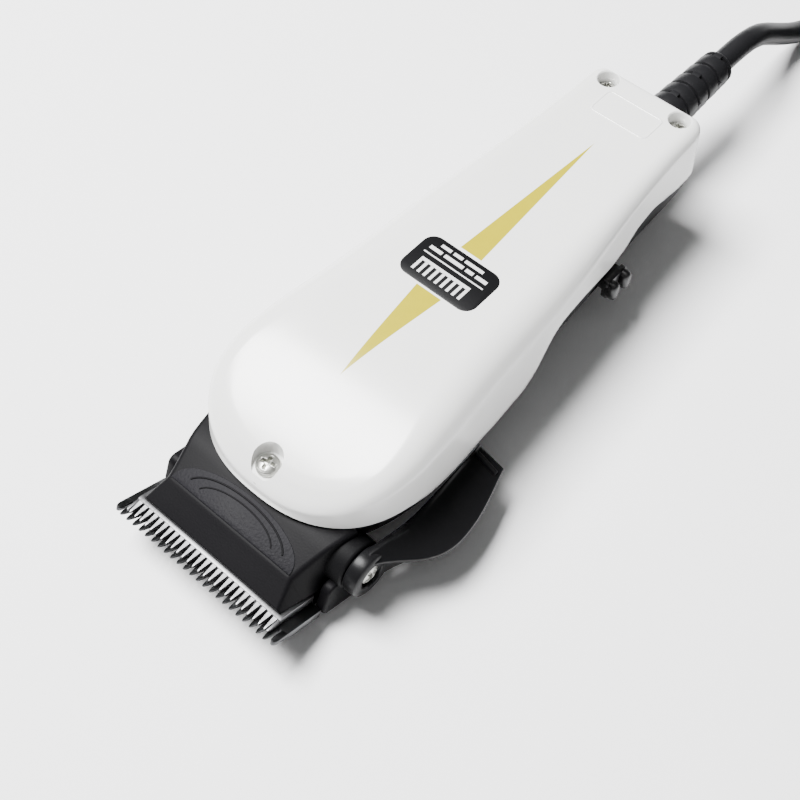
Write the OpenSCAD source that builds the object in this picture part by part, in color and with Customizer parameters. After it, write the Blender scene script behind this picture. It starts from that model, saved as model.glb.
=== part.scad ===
// Corded vibrator-motor hair clipper with a taper lever.
// Frame: +Z up through the upper cover, blade teeth towards -Y, cord towards +Y,
// taper lever and switch on +X. The origin lies in the flat underside on the centre plane.

/* [Housing] */
// Height of the flat top of the upper cover above the rest plane
top_z = 35.2; // [34.8:0.1:35.6]
// Wall thickness of both housing shells
wall = 2.2; // [1.8:0.1:2.4]
// Half width of the round front bulb of the upper cover
bulb_w = 26; // [25.5:0.1:26.5]
// Clearance left all along the parting line
part_gap = 0.1; // [0.05:0.05:0.3]
// Half width of the flat strip the lower housing rests on
keel_w = 7; // [6:0.5:8]

/* [Blades] */
// Angle of the blade set to the rest plane
blade_tilt = 23; // [22.5:0.5:23.5]
// Half width of the fixed blade
blade_w = 23.8; // [23:0.1:24]
// Thickness of each blade
blade_t = 2.2; // [2:0.1:2.3]
// Distance from tooth to tooth
pitch = 1.9; // [1.8:0.05:2]
// Gap between the two blades
blade_gap = 0.1; // [0.05:0.05:0.15]

/* [Lever] */
// Distance of the lever pivot from the origin along Y
pivot_y = -60.5; // [-60.7:0.1:-60.3]
// Height of the lever pivot
pivot_z = 12.4; // [12.2:0.1:12.6]
// Radius of the lever's pivot spigot
spigot_r = 3; // [2.8:0.1:3.1]
// Throw of the eccentric pin
throw = 2.13; // [2:0.01:2.2]

/* [Motor] */
// Y position of the arm's swing axis
swing_y = 52; // [51:0.5:53]
// X position of the arm's swing axis
swing_x = 5.4; // [5.2:0.1:5.6]
// Air gap between the poles and the armature
air_gap = 1.2; // [1:0.1:1.3]

/* [Cord] */
// Diameter of the mains cord
cord_d = 6; // [5.8:0.1:6.2]
// Mean radius of the stored coil
coil_r = 31; // [30:0.5:32]
// Distance between the plug's pins
pin_gap = 18.6; // [18.4:0.1:19]

/* [Hidden] */
$fn = 48;
EPS = 0.01;

// ---------- outline laws of the housing ----------
FRONT = -40;            // centre of the bulb
BF = 25.2;              // length of the bulb in front of its centre
REAR = 70.8;            // rear face
NB = 2.4;               // superellipse power of the bulb
WT = [[-40,26],[-30,25.4],[-20,24.3],[-10,23.4],[0,22.7],[10,21.9],[20,20.8],
      [30,19.4],[40,18.1],[50,17.1],[60,16.4],[72,16]];
RT = [[-66,2.6],[-55,3.6],[-42,5.8],[-32,7.3],[-22,8.2],[-2,8],[16,7.1],[36,5.1],[54,3.8],[72,3]];
PT = [[-66,20.8],[-58,20.2],[-48,19.6],[-35,16.3],[-22,14.8],[-14,13.8],[-7,13.8],[-3,15],[0,17.4],
      [3,21],[6,23.8],[10,25],[17,24.5],[25,22.6],[32,20.9],[37,21.2],[43,23.4],[49,23.6],[57,21.4],
      [63,20.2],[72,20.4]];
function sq(v) = v*v;
function rnd(d, r) = d >= r ? 0 : r*(1 - sqrt(max(0, 1 - sq(1 - max(0,d)/r))));
function ztop(y, o) = (y > -20 ? top_z : top_z - 7.8*pow((-20 - y)/41, 2.5)) - o
    - rnd(y - (FRONT - BF + o), 3.4) - rnd((REAR - o) - y, 1.6);
function zpart(y) = lookup(y, PT);
// stations [y, half width] for a shell inset by o
function stations(o) = concat(
  [for (t = [86,79,71,62,52,41,28,13]) [FRONT - (BF - o)*pow(sin(t), 2/NB), (bulb_w - o)*pow(cos(t), 2/NB)]],
  [for (y = [-40,-34,-27,-20,-13,-7,-3,0,3,6,10,15,21,27,32,37,43,49,55,61,65]) [y, lookup(y, WT)*bulb_w/26 - o]],
  [for (t = [10,40,65,84]) [REAR - o - 3.6 + 3.6*sin(t), lookup(REAR, WT)*bulb_w/26 - o - 3.6 + 3.6*cos(t)]]);
ARC = [0,18,36,54,72,90];
function cover_sec(s, o, drop) = let(y = s[0], w = s[1], zt = ztop(y, o), zp = zpart(y) + part_gap/2 - drop,
    rx = min(lookup(y, RT), 0.85*w), rz = min(0.85*lookup(y, RT), 0.85*(zt - zp)))
  concat([[w + 0.5, zp]], [for (a = ARC) [w - rx + rx*cos(a), zt - rz + rz*sin(a)]],
         [for (a = [90:-18:0]) [-(w - rx + rx*cos(a)), zt - rz + rz*sin(a)]], [[-w - 0.5, zp]]);
function zbot(y) = (y > 48 ? 6*sq((y - 48)/22.8) : 0) + (y < -56 ? 2*sq((-56 - y)/9) : 0);
function lower_sec(s, o, rise) = let(y = s[0], w = s[1], wl = w - 0.1, zb = zbot(y) + o, zp = zpart(y) - part_gap/2,
    xb = max(0.3, min(keel_w - o/2, 0.4*wl)), n = 1.25, up = rise > 0 ? [zp + rise] : [])
  concat([for (z = up) [-wl, z]],
         [for (t = [0,14,28,43,58,73,90]) [-(xb + (wl - xb)*pow(cos(t), n)), zb + (zp - zb)*(1 - pow(sin(t), n))]],
         [for (t = [90,73,58,43,28,14,0]) [xb + (wl - xb)*pow(cos(t), n), zb + (zp - zb)*(1 - pow(sin(t), n))]],
         [for (z = up) [wl, z]]);
// closed solid through equal-length [x,z] sections at each station
module loft(st, secs) {
  n = len(st); m = len(secs[0]);
  pts = [for (i = [0:n-1]) for (j = [0:m-1]) [secs[i][j][0], st[i][0], secs[i][j][1]]];
  faces = concat(
    [for (i = [0:n-2]) for (j = [0:m-1]) [i*m + j, i*m + (j+1)%m, (i+1)*m + (j+1)%m]],
    [for (i = [0:n-2]) for (j = [0:m-1]) [i*m + j, (i+1)*m + (j+1)%m, (i+1)*m + j]],
    [for (j = [1:m-2]) [0, j+1, j]],
    [for (j = [1:m-2]) [(n-1)*m, (n-1)*m + j, (n-1)*m + j+1]]);
  polyhedron(points = pts, faces = faces, convexity = 8);
}
module cover_solid(o, drop) { s = stations(o); loft(s, [for (q = s) cover_sec(q, o, drop)]); }
module lower_solid(o, rise) { s = stations(o); loft(s, [for (q = s) lower_sec(q, o, rise)]); }
// ---------- helpers ----------
module xcyl(r, x0, x1, y, z) { translate([x0, y, z]) rotate([0, 90, 0]) cylinder(r = r, h = x1 - x0); }
module ycyl(r, y0, y1, x, z) { translate([x, y0, z]) rotate([-90, 0, 0]) cylinder(r = r, h = y1 - y0); }
module zcyl(r, z0, z1, x, y) { translate([x, y, z0]) cylinder(r = r, h = z1 - z0); }
module box(a, b) { translate(a) cube(b - a); }
// blade frame: X as is, +Y runs back along the blades, +Z is their upper face normal
TIP = [0, -85, 12.5];
module blade_frame() { translate(TIP) rotate([-blade_tilt, 0, 0]) children(); }
function bz(y, v) = TIP[2] - (y - TIP[1])*tan(blade_tilt) + v/cos(blade_tilt);
// tube swept along a route: parallel rings square to the path, kept level
function nrm(v) = v/norm(v);
function tang(p, i) = nrm(i == 0 ? p[1] - p[0] : i == len(p)-1 ? p[i] - p[i-1] : p[i+1] - p[i-1]);
function side(t) = let(c = cross(t, [0,0,1])) norm(c) < 0.05 ? [1,0,0] : nrm(c);
module sweep(p, r, k) {
  n = len(p);
  pts = [for (i = [0:n-1]) let(t = tang(p, i), u = side(t), v = cross(u, t))
         for (j = [0:k-1]) p[i] + r*(cos(360*j/k)*u + sin(360*j/k)*v)];
  faces = concat(
    [for (i = [0:n-2]) for (j = [0:k-1]) [i*k + j, i*k + (j+1)%k, (i+1)*k + (j+1)%k]],
    [for (i = [0:n-2]) for (j = [0:k-1]) [i*k + j, (i+1)*k + (j+1)%k, (i+1)*k + j]],
    [[for (j = [k-1:-1:0]) j]], [[for (j = [0:k-1]) (n-1)*k + j]]);
  polyhedron(points = pts, faces = faces, convexity = 6);
}
function cr(a, b, c, d, t) = 0.5*((2*b) + (c - a)*t + (2*a - 5*b + 4*c - d)*t*t + (3*b - a - 3*c + d)*t*t*t);
function smooth(p, m) = let(n = len(p)) concat([for (i = [0:n-2]) for (k = [0:m-1])
  cr(p[max(0,i-1)], p[i], p[i+1], p[min(n-1,i+2)], k/m)], [p[n-1]]);
// route of the free cord, from the strain relief to the stored coil, and from the coil to the plug
ROUTE = [[0,103.5,21],[0,110,21],[0,117,20.3],[0,124.5,17.8],[0.4,132,13.4],[1.1,140,8.7],[2.1,148,5.1],[3.3,156,3.4],[4.3,162,3.05],[4.9,166,3.05]];
TAIL = [[51.6,201.8,21.4],[61.2,199.2,21.4],[70.5,194.5,20.9],[78.7,187.2,19.2],[83.8,177.2,16.6],[85.4,166,13.8],[85.5,157,11.3],[84.3,149,9.3],[80.9,141,7.9],[75.6,133,7.1],[72.2,125,6.85],[71,117,6.85]];
COIL = [42, 166];
PLUG_X = 71;
PLUG_Y = 78;

// ---------- housing ----------
REAR_SCREW = [10.4, 67.4];
FRONT_SCREW_Y = -60.6;
module top_cover() { color("whitesmoke") difference() {
  union() {
    difference() { cover_solid(0, 0); cover_solid(wall, 9); }
    intersection() {
      cover_solid(0.6, 0);
      union() {
        zcyl(5.2, 21.2, 30, 0, FRONT_SCREW_Y);
        for (s = [-1,1]) zcyl(3.9, 21.2, 35, s*REAR_SCREW[0], REAR_SCREW[1]);
      }
    }
  }
  zcyl(3.5, 24.6, 40, 0, FRONT_SCREW_Y);
  zcyl(1.7, 15, 30, 0, FRONT_SCREW_Y);
  for (s = [-1,1]) { zcyl(2.6, 31.2, 40, s*REAR_SCREW[0], REAR_SCREW[1]); zcyl(1.7, 15, 33, s*REAR_SCREW[0], REAR_SCREW[1]); }
  ycyl(4.5, 60, 75, 0, 21);
  badge_shape(34.7, 36, 0.1);
} }
module nose_outer() {
  N = [[-79.15, 13.35, 19.4, bz(-79.15,2.5), 20.2], [-73.35, 16.57, 18.1, bz(-73.35,2.5), 20.6],
       [-66, 19.2, 20, bz(-66,2.5), 21.4], [-60.6, 20, 21.6, bz(-60.6,2.5), 22.4], [-57, 20, 22, 4, 22.4]];
  loft(N, [for (q = N) [[q[4], q[3]], [q[2], q[1]], [-q[2], q[1]], [-q[4], q[3]]]]);
}
module nose_inner() {
  N = [[-77.6, 12.6, 14, bz(-77.6,1), 15], [-73.2, 15.1, 15.2, bz(-73.2,1), 15.6],
       [-66, 17.7, 17, bz(-66,1), 17], [-56.4, 18.4, 17.5, 2.2, 17.5], [-50, 18.4, 17.5, 2.2, 17.5]];
  loft(N, [for (q = N) [[q[4], q[3]], [q[2], q[1]], [-q[2], q[1]], [-q[4], q[3]]]]);
}
module skirt(s) { blade_frame() hull() for (q = [[17.5,-0.1],[25.4,-0.1],[25.4,5.5],[17.5,4.2]])
  translate([s > 0 ? 20.2 : -24.2, q[0], q[1]]) rotate([0,90,0]) cylinder(r = 2.1, h = 4, $fn = 24); }
module lower_housing() { color("#1c1c1e") difference() {
  union() {
    difference() { lower_solid(0, 0); lower_solid(wall, 9); }
    difference() { union() { nose_outer(); skirt(1); skirt(-1); } lower_solid(wall, 9); nose_inner(); }
    // bridge over the nose that carries the front screw
    difference() { intersection() { box([-19,-64,17.4],[19,-54.5,20]); lower_solid(0.4, 4); } zcyl(20, 20.1, 40, 0, -58); }
    zcyl(3.6, 15.7, 20, 0, FRONT_SCREW_Y);
    // lever pivot boss
    xcyl(6, 17, 24.7, pivot_y, pivot_z);
    // rear screw posts
    for (s = [-1,1]) intersection() { zcyl(3.2, 3, 20.2, s*REAR_SCREW[0], REAR_SCREW[1] - 0.4); lower_solid(0.3, 0); }
    intersection() { lower_solid(0.3, 4); union() {
      // stator posts
      for (q = STAT) zcyl(2.6, 1, 9.9, q[0], q[1]);
      // leaf spring block, spring seats, switch shelf, clamp posts
      box([8.1,49.5,1],[12.6,59.5,18.5]);
      box([14,-53.5,1],[17.5,-46.5,18]);
      box([-20,-54,1],[-14.2,-46,18.2]);
      box([8.4,23.5,1],[12.2,39.5,12.3]);
      for (s = [-1,1]) zcyl(2.6, 1, 15.5, s*6.6, 62);
    } }
  }
  // blade pocket: everything below the seat plane in front of the heel
  blade_frame() { box([-21.7,-12,-30],[21.7,26.2,2.5]); box([-40,-12,-30],[40,15.3,2.5]); box([-21.7,-20,-30],[21.7,26.2,-2.3]); }
  // window for the guide and the arm finger
  blade_frame() box([-9.6,8,-3],[9.6,24,6]);
  box([-13.5,-68,2.3],[13.5,-58,15.6]);
  // slot for the follower lug
  blade_frame() box([14.1,15.4,1],[18.9,25.9,12]);
  xcyl(spigot_r + 0.05, 15, 26, pivot_y, pivot_z);
  xcyl(4.9, 15, 19.8, pivot_y, pivot_z);
  zcyl(1.45, 14, 21, 0, FRONT_SCREW_Y);
  for (s = [-1,1]) zcyl(1.45, 8, 21, s*REAR_SCREW[0], REAR_SCREW[1]);
  for (q = STAT) zcyl(1.25, 4.5, 10.5, q[0], q[1]);
  for (y = [52,57]) xcyl(1.25, 7, 12.8, y, 15);
  xcyl(2.55, -30, -13, -50, 14.5);
  xcyl(4.6, -30, -24.2, -50, 14.5);
  for (s = [-1,1]) zcyl(1.05, 5, 16, s*6.6, 62);
  ycyl(4.5, 60, 75, 0, 21);
  box([13,24.1,14.6],[24,35.1,18.8]);
} }
module badge_shape(z0, z1, o) { translate([0,-3.9,z0]) linear_extrude(z1 - z0) union() {
  square([20.8 - 6 + 2*o, 12.7 + 2*o], center = true); square([20.8 + 2*o, 12.7 - 6 + 2*o], center = true);
  for (a = [-1,1]) for (b = [-1,1]) translate([a*7.4, b*3.35]) circle(r = 3 + o); } }
module badge() { color("#2a2a2c") badge_shape(34.75, 35.35, 0); }
// pan-head screw, head seat at the origin, thread down -Z, with a cross recess
module screw(rs, len, rh, hh) { difference() {
  union() { cylinder(r = rh, h = hh*0.55); translate([0,0,hh*0.55-EPS]) cylinder(r1 = rh, r2 = rh*0.72, h = hh*0.45, $fn = 32);
    translate([0,0,-len]) cylinder(r = rs, h = len + EPS); }
  for (a = [0,90]) rotate([0,0,a]) translate([-rh*0.6, -rh*0.14, hh*0.45]) cube([rh*1.2, rh*0.28, hh]);
} }
module case_screw_front() { color("silver") translate([0, FRONT_SCREW_Y, 24.6]) screw(1.4, 9, 2.65, 2); }
module case_screws_rear() { color("silver") for (s = [-1,1]) translate([s*REAR_SCREW[0], REAR_SCREW[1], 31.2]) screw(1.4, 22.5, 2.2, 1.8); }

// ---------- blade set ----------
module comb(half, n, u0, root, w, t, v0) {
  for (i = [0:n-1]) translate([(i - (n-1)/2)*pitch - w/2, u0, v0]) cube([w, root - u0 + 0.2, t]); }
module fixed_blade() { color("#9a9ea2") blade_frame() difference() {
  union() {
    box([-blade_w, 4.6, -blade_t], [blade_w, 15.2, 0]);
    box([-21.4, 15.1, -blade_t], [21.4, 25.6, 0]);
    comb(blade_w, 23, 0.1, 4.6, 1.05, 1.3, -1.3);
    for (s = [-1,1]) { box([s > 0 ? 22.4 : -blade_w, 1.5, -blade_t],[s > 0 ? blade_w : -22.4, 4.7, 0]);
      translate([s*(blade_w - 0.9), 1.5, -1.3]) cylinder(r = 0.9, h = 1.3); }
  }
  for (s = [-1,1]) translate([s*9, 20.5, -4]) cylinder(r = 1.8, h = 6);
} }
module moving_blade() { color("#d4d6d8") blade_frame() difference() {
  union() { box([-21.2, 4.4, blade_gap], [21.2, 15.1, blade_gap + blade_t - 0.1]); comb(21.2, 22, 1.5, 4.4, 0.95, 1.2, blade_gap); }
  box([-5, 9.6, 1.2], [5, 13.8, 4]);
} }
module blade_screws() { color("silver") blade_frame() for (s = [-1,1]) translate([s*9, 20.5, -blade_t]) rotate([180,0,0]) screw(1.7, 4.3, 2.9, 1.6); }
module cam_follower() { color("#d8d2bc") blade_frame() difference() {
  union() { box([-13.4, 17.4, 0.02], [18.2, 25.6, 2.3]); box([14.6, 17.8, 0.02], [18.2, 25.3, 9.6]); }
  for (s = [-1,1]) translate([s*9, 20.5, -1]) cylinder(r = 1.72, h = 5);
  translate(PIN_UV) hull() { for (d = [-0.6, 4]) translate([10, 0, d]) rotate([0,90,0]) cylinder(r = 1.56, h = 12, $fn = 32); }
} }
// eccentric pin centre in the blade frame
PIV_U = (pivot_y - TIP[1])*cos(blade_tilt) - (pivot_z - TIP[2])*sin(blade_tilt);
PIV_V = (pivot_y - TIP[1])*sin(blade_tilt) + (pivot_z - TIP[2])*cos(blade_tilt);
PIN_UV = [0, PIV_U + throw*sin(25), PIV_V - throw*cos(25)];
module blade_guide() { color("#e8e4d8") blade_frame() difference() {
  union() { box([-7, 8.6, 2.2], [7, 15, 3.2]); box([-4, 9.4, 2.2],[4, 14.8, 5.6]); box([-4.8, 9.8, 1.25],[4.8, 13.6, 2.25]); }
  box([-1.55, 8, 3.2], [1.55, 16, 8]);
} }
module blade_spring() { color("#b8bcc0") for (s = [-1,1]) sweep(smooth([[s*2.1,-57.5,14.6],[s*3.6,-61,14.2],[s*5.2,-65,12.4],[s*5.6,-69.5,10.9],[s*5.6,-72.6,11.6]], 3), 0.5, 8); }

// ---------- taper lever ----------
module taper_lever() { color("#161618") difference() {
  union() {
    xcyl(5.6, 24.9, 28.4, pivot_y, pivot_z);
    xcyl(spigot_r, 19.9, 25, pivot_y, pivot_z);
    lever_arm();
  }
  xcyl(1.3, 18, 26.8, pivot_y, pivot_z);
  xcyl(3, 26.8, 30, pivot_y, pivot_z);
} }
// the arm: [y, inner x, outer x, z low, z high] sections, a thumb paddle that bows outwards
LEV = [[-58.5,25.2,28.4,8.2,16.4],[-54,26.2,31.6,8.6,16],[-49,26.8,35,8.8,15.2],[-44,26.8,36.8,9,14.6],
       [-38,26.4,36.6,9.2,14.4],[-31,25.9,35,9.4,14.4],[-25,25.6,33.2,9.6,14.6],[-22.4,25.6,32.4,10,14.6]];
module lever_arm() { loft(LEV, [for (q = LEV) [[q[2]-0.8,q[3]],[q[2],q[3]+1.2],[q[2]-0.4,q[3]+2.6],[q[1]+2.2,q[4]-0.8],[q[1]+1.6,q[4]],[q[1],q[4]],[q[1],q[3]]]]);
  translate([26.6,-24.6,13.2]) rotate([0,13,0]) cube([5.4,1.2,1.4]); }
module lever_cam() { color("#c9c9c4") difference() {
  union() { xcyl(4.6, 18.4, 19.7, pivot_y, pivot_z);
    translate([0,0,0]) blade_frame() translate(PIN_UV + [14.4, 0, 0]) rotate([0,90,0]) cylinder(r = 1.5, h = 4.2); }
  xcyl(1.3, 18.45, 21, pivot_y, pivot_z);
} }
module lever_screw() { color("silver") translate([26.8, pivot_y, pivot_z]) rotate([0,90,0]) screw(1.25, 8.2, 2.5, 1.5); }
module lever_washer() { color("silver") difference() { xcyl(4.6, 24.72, 24.88, pivot_y, pivot_z); xcyl(3.1, 24, 26, pivot_y, pivot_z); } }

// ---------- motor ----------
POLE_X = swing_x - 1.2 - 4 - air_gap;
STAT = [[-7.6,4.7],[-7.6,29.4]];
module stator_core() { color("#70757a") difference() {
  union() { box([-10.4, 2, 10], [-6.4, 32, 20]); box([-10.4, 2, 10], [POLE_X, 7.5, 20]); box([-10.4, 26.5, 10], [POLE_X, 32, 20]); }
  for (q = STAT) zcyl(1.5, 5, 25, q[0], q[1]);
} }
module coil_bobbin() { color("#e9e3d0") difference() {
  union() { box([-11.2, 7.8, 9.2], [-5.6, 26.2, 20.8]); for (y = [7.7, 25.1]) box([-12.2, y, 8.4], [-3.6, y + 1.2, 21.6]); }
  box([-10.45, 0, 9.95], [-6.35, 40, 20.05]);
} }
module coil_winding() { color("#a8552a") difference() { box([-11.9, 9.2, 8.6], [-4.1, 24.8, 21.4]); box([-11.25, 5, 9.15], [-5.55, 30, 20.85]); } }
module coil_tape() { color("#d9c24a") difference() { box([-12.2, 9.5, 8.3], [-3.8, 24.5, 21.7]); box([-11.95, 5, 8.55], [-4.05, 30, 21.45]); } }
module stator_screws() { color("silver") for (q = STAT) translate([q[0], q[1], 20]) screw(1.2, 14, 2.3, 1.7); }
module drive_arm() { color("#c8ccd0") difference() {
  union() {
    box([swing_x - 1.2, -10, 12.4], [swing_x + 1.2, 46, 17.4]);
    hull() { box([swing_x - 1.2, -10.5, 12.4], [swing_x + 1.2, -10, 17.4]); box([-1.2, -44.5, 12.4], [1.2, -44, 16.4]); }
    box([-1.2, -58, 12.4], [1.2, -44, 15.4]);
    box([-1.2, -70, 12.4], [1.2, -57.9, 14.4]);
    box([-1.5, -73.4, 11.2], [1.5, -69.9, 14.3]);
    xcyl(1.1, -3, 3, -50, 13.9);
    box([-2.4, -58.4, 13.6],[2.4, -56.6, 15.2]);
  }
  for (y = [8, 24]) xcyl(1.2, 2, 8, y, 15);
} }
module armature_core() { color("#70757a") difference() { box([POLE_X + air_gap, 3, 9.4], [swing_x - 1.2, 31, 20.6]); for (y = [8,24]) xcyl(1.2, -2, 8, y, 15); } }
module armature_rivets() { color("#b9bdc1") for (y = [8,24]) { xcyl(1.15, POLE_X + air_gap + 0.3, swing_x + 1.2, y, 15); xcyl(1.9, swing_x + 1.2, swing_x + 1.9, y, 15); } }
module arm_leaf_spring() { color("#b8bcc0") difference() { box([7.2, 40, 12.6], [7.9, 58.6, 17.2]); for (y = [52,57]) xcyl(1.35, 6, 9, y, 15); } }
module leaf_screws() { color("silver") for (y = [52,57]) translate([7.2, y, 15]) rotate([0,-90,0]) screw(1.2, 4.8, 2.1, 0.9); }
function helix(x0, x1, r, turns, y, z) = [for (i = [0:turns*9]) let(a = 40*i) [x0 + (x1 - x0)*i/(turns*9), y + r*cos(a), z + r*sin(a)]];
module coil_spring(x0, x1, r, turns, y, z) { p = helix(x0, x1, r, turns, y, z); n = len(p); k = 5; w = 0.35;
  pts = [for (i = [0:n-1]) let(a = 40*i, u = [0, cos(a), sin(a)], v = [1,0,0]) for (j = [0:k-1]) p[i] + w*(cos(72*j)*u + sin(72*j)*v)];
  faces = concat([for (i = [0:n-2]) for (j = [0:k-1]) [i*k + j, (i+1)*k + (j+1)%k, i*k + (j+1)%k]],
    [for (i = [0:n-2]) for (j = [0:k-1]) [i*k + j, (i+1)*k + j, (i+1)*k + (j+1)%k]],
    [[for (j = [0:k-1]) j]], [[for (j = [k-1:-1:0]) (n-1)*k + j]]);
  polyhedron(points = pts, faces = faces, convexity = 8); }
module return_spring_left() { color("#b8bcc0") coil_spring(-12, -1.7, 2, 6, -50, 13.9); }
module return_spring_right() { color("#b8bcc0") coil_spring(1.7, 13.6, 2, 7, -50, 13.9); }
module power_screw() { color("silver") difference() { union() { xcyl(2.5, -24.4, -14.6, -50, 14.5); xcyl(4.1, -26.6, -24.3, -50, 14.5); }
  translate([-26.7, -54, 14.0]) cube([1.2, 8, 1]); } }
module power_nut() { color("#b08d3e") difference() { xcyl(3.2, -14.1, -12.4, -50, 14.5); xcyl(1.2, -14.3, -13.3, -50, 14.5); } }
module arm_bumper() { color("#202020") for (x = [-3.6, 2.2]) box([x, -36, 2.3], [x + 1.4, -30, 3.9]); }

// ---------- electrics ----------
module switch_slider() { color("#141416") { box([13.1, 28.9, 14.9], [20.3, 34.9, 18.5]); box([12.6, 27.6, 15.6],[14.2, 36, 17.8]);
  translate([21.7, 31.7, 16.1]) { for (d = [-2.3, 2.3]) translate([0, d, -3]) cylinder(r = 1.7, h = 6.2); translate([-1.7,-4,-3]) cube([1.8, 8, 6.2]); } } }
module switch_body() { color("#ece6d6") difference() { box([8.6, 24, 12.4], [12.3, 39, 19.6]); box([9.6, 25.5, 15.4], [12.4, 37.5, 18]); } }
module switch_contacts() { color("#c8a24a") for (y = [26.5, 31, 35.5]) { box([8.9, y, 19.5], [11.9, y + 1, 22.2]); } }
module lead_wires() { color("#3a2a24") {
  sweep(smooth([[10.4,36,22.7],[10.2,42,24],[8,50,25.4],[4.6,56,25],[3,60,23]], 3), 0.75, 6);
  sweep(smooth([[10.4,27,22.7],[7.4,22,25.6],[1,19,26.4],[-4,17,26],[-9,17,24.3]], 3), 0.75, 6);
  sweep(smooth([[-9,13,24.3],[-6,8,26],[-6,22,27.4],[-6,40,27],[-4.4,52,25.4],[-3,60,23]], 3), 0.75, 6);
} }
module wire_connectors() { color("#d8dadc") for (s = [-1,1]) ycyl(1.6, 60.1, 65, s*3, 23); }
module cord_clamp() { color("#222224") difference() { box([-9, 59.9, 15.6], [9, 64.1, 18.4]); for (s = [-1,1]) zcyl(1.4, 12, 20, s*6.6, 62); ycyl(3.1, 50, 70, 0, 20.3); } }
module clamp_screws() { color("silver") for (s = [-1,1]) translate([s*6.6, 62, 18.4]) screw(1, 10, 2, 1.4); }
module strain_relief() { color("#141414") difference() {
  union() { ycyl(6.4, 65.6, 68.4, 0, 21); ycyl(4.4, 68.3, 71.2, 0, 21);
    translate([0, 71.1, 21]) rotate([-90,0,0]) rotate_extrude() polygon([[0,0],[5.6,0],[5.6,3],[5.3,10],[4.9,22],[4.4,31.5],[3.9,32.6],[0,32.6]]); }
  for (y = [86,90,94,98]) translate([0, y, 21]) rotate([-90,0,0]) difference() { cylinder(r = 8, h = 1.4); cylinder(r = 4.3, h = 1.4); }
} }
module mains_cord() { color("#181818") { sweep(smooth(ROUTE, 3), cord_d/2, 12); sweep(smooth(TAIL, 2), cord_d/2, 12); } }
module cord_coil() { color("#181818") translate([COIL[0], COIL[1], 0.05]) rotate_extrude($fn = 64) translate([coil_r - 9.2, 0])
  polygon([[1.7,0],[16.7,0],[18.4,1.7],[18.4,22.7],[16.7,24.4],[1.7,24.4],[0,22.7],[0,1.7]]); }
module coil_tie() { color("#303030") translate([COIL[0], COIL[1] + coil_r, 0]) difference() { box([-4,-10,0],[4,10,25.2]); box([-5,-9.3,0.7],[5,9.3,24.5]); } }
module plug_body() { color("#161616") union() {
  translate([PLUG_X, PLUG_Y, 6.85]) rotate([-90,0,0]) linear_extrude(26) union() { square([35.3 - 13.7, 13.7], center = true); for (s = [-1,1]) translate([s*(35.3 - 13.7)/2, 0]) circle(r = 6.85); }
  translate([PLUG_X, PLUG_Y, 0]) hull() { box([-12,25.8,2.4],[12,26,11.3]); box([-4.6,34.6,3],[4.6,35,10.7]); }
  ycyl(4, PLUG_Y + 34.9, PLUG_Y + 39, PLUG_X, 6.85);
} }
module plug_pins() { color("#d0d0c8") for (s = [-1,1]) translate([PLUG_X + s*pin_gap/2, PLUG_Y - 19, 6.85]) rotate([-90,0,0])
  rotate_extrude() polygon([[0,0],[1.1,0],[1.7,0.4],[2,1.2],[2,19],[0,19]]); }

top_cover();
lower_housing();
badge();
case_screw_front();
case_screws_rear();
fixed_blade();
moving_blade();
blade_screws();
cam_follower();
blade_guide();
blade_spring();
taper_lever();
lever_cam();
lever_screw();
lever_washer();
stator_core();
coil_bobbin();
coil_winding();
coil_tape();
stator_screws();
drive_arm();
armature_core();
armature_rivets();
arm_leaf_spring();
leaf_screws();
return_spring_left();
return_spring_right();
power_screw();
power_nut();
arm_bumper();
switch_slider();
switch_body();
switch_contacts();
lead_wires();
wire_connectors();
cord_clamp();
clamp_screws();
strain_relief();
mains_cord();
cord_coil();
coil_tie();
plug_body();
plug_pins();
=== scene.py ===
import bpy, bmesh, math
from mathutils import Vector, Matrix


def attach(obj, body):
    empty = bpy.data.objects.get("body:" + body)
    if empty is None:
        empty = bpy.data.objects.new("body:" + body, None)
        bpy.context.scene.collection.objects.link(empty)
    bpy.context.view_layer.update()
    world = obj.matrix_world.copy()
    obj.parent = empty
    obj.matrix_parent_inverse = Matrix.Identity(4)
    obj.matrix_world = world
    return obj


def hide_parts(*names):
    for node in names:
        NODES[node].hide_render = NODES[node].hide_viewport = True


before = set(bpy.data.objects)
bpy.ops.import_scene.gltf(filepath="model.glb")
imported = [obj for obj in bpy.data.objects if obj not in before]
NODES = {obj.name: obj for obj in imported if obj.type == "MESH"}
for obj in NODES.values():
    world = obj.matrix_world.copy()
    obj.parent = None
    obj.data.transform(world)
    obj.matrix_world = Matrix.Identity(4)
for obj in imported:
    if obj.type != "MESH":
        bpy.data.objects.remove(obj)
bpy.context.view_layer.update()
MM = 0.001

# ------------------------------------------------------------------ small tools
def clamp(v, a, b): return max(a, min(b, v))
def lerp(a, b, t): return a + (b - a) * t
def sstep(t): t = clamp(t, 0, 1); return t * t * (3 - 2 * t)

def curve(x, t):
    """Smooth curve through table points (x ascending)."""
    if x <= t[0][0]: return t[0][1]
    if x >= t[-1][0]: return t[-1][1]
    for i in range(len(t) - 1):
        if t[i][0] <= x <= t[i + 1][0]: break
    x0, y0 = t[i]; x1, y1 = t[i + 1]
    h = x1 - x0
    d = (y1 - y0) / h
    def slope(j):
        if j <= 0 or j >= len(t) - 1: return None
        a = (t[j][1] - t[j - 1][1]) / (t[j][0] - t[j - 1][0]); b = (t[j + 1][1] - t[j][1]) / (t[j + 1][0] - t[j][0])
        if a * b <= 0: return 0.0
        return 2 * a * b / (a + b)
    m0 = slope(i); m1 = slope(i + 1)
    m0 = d if m0 is None else m0; m1 = d if m1 is None else m1
    s = (x - x0) / h
    return (2*s**3 - 3*s**2 + 1) * y0 + (s**3 - 2*s**2 + s) * h * m0 + (-2*s**3 + 3*s**2) * y1 + (s**3 - s**2) * h * m1

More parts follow.
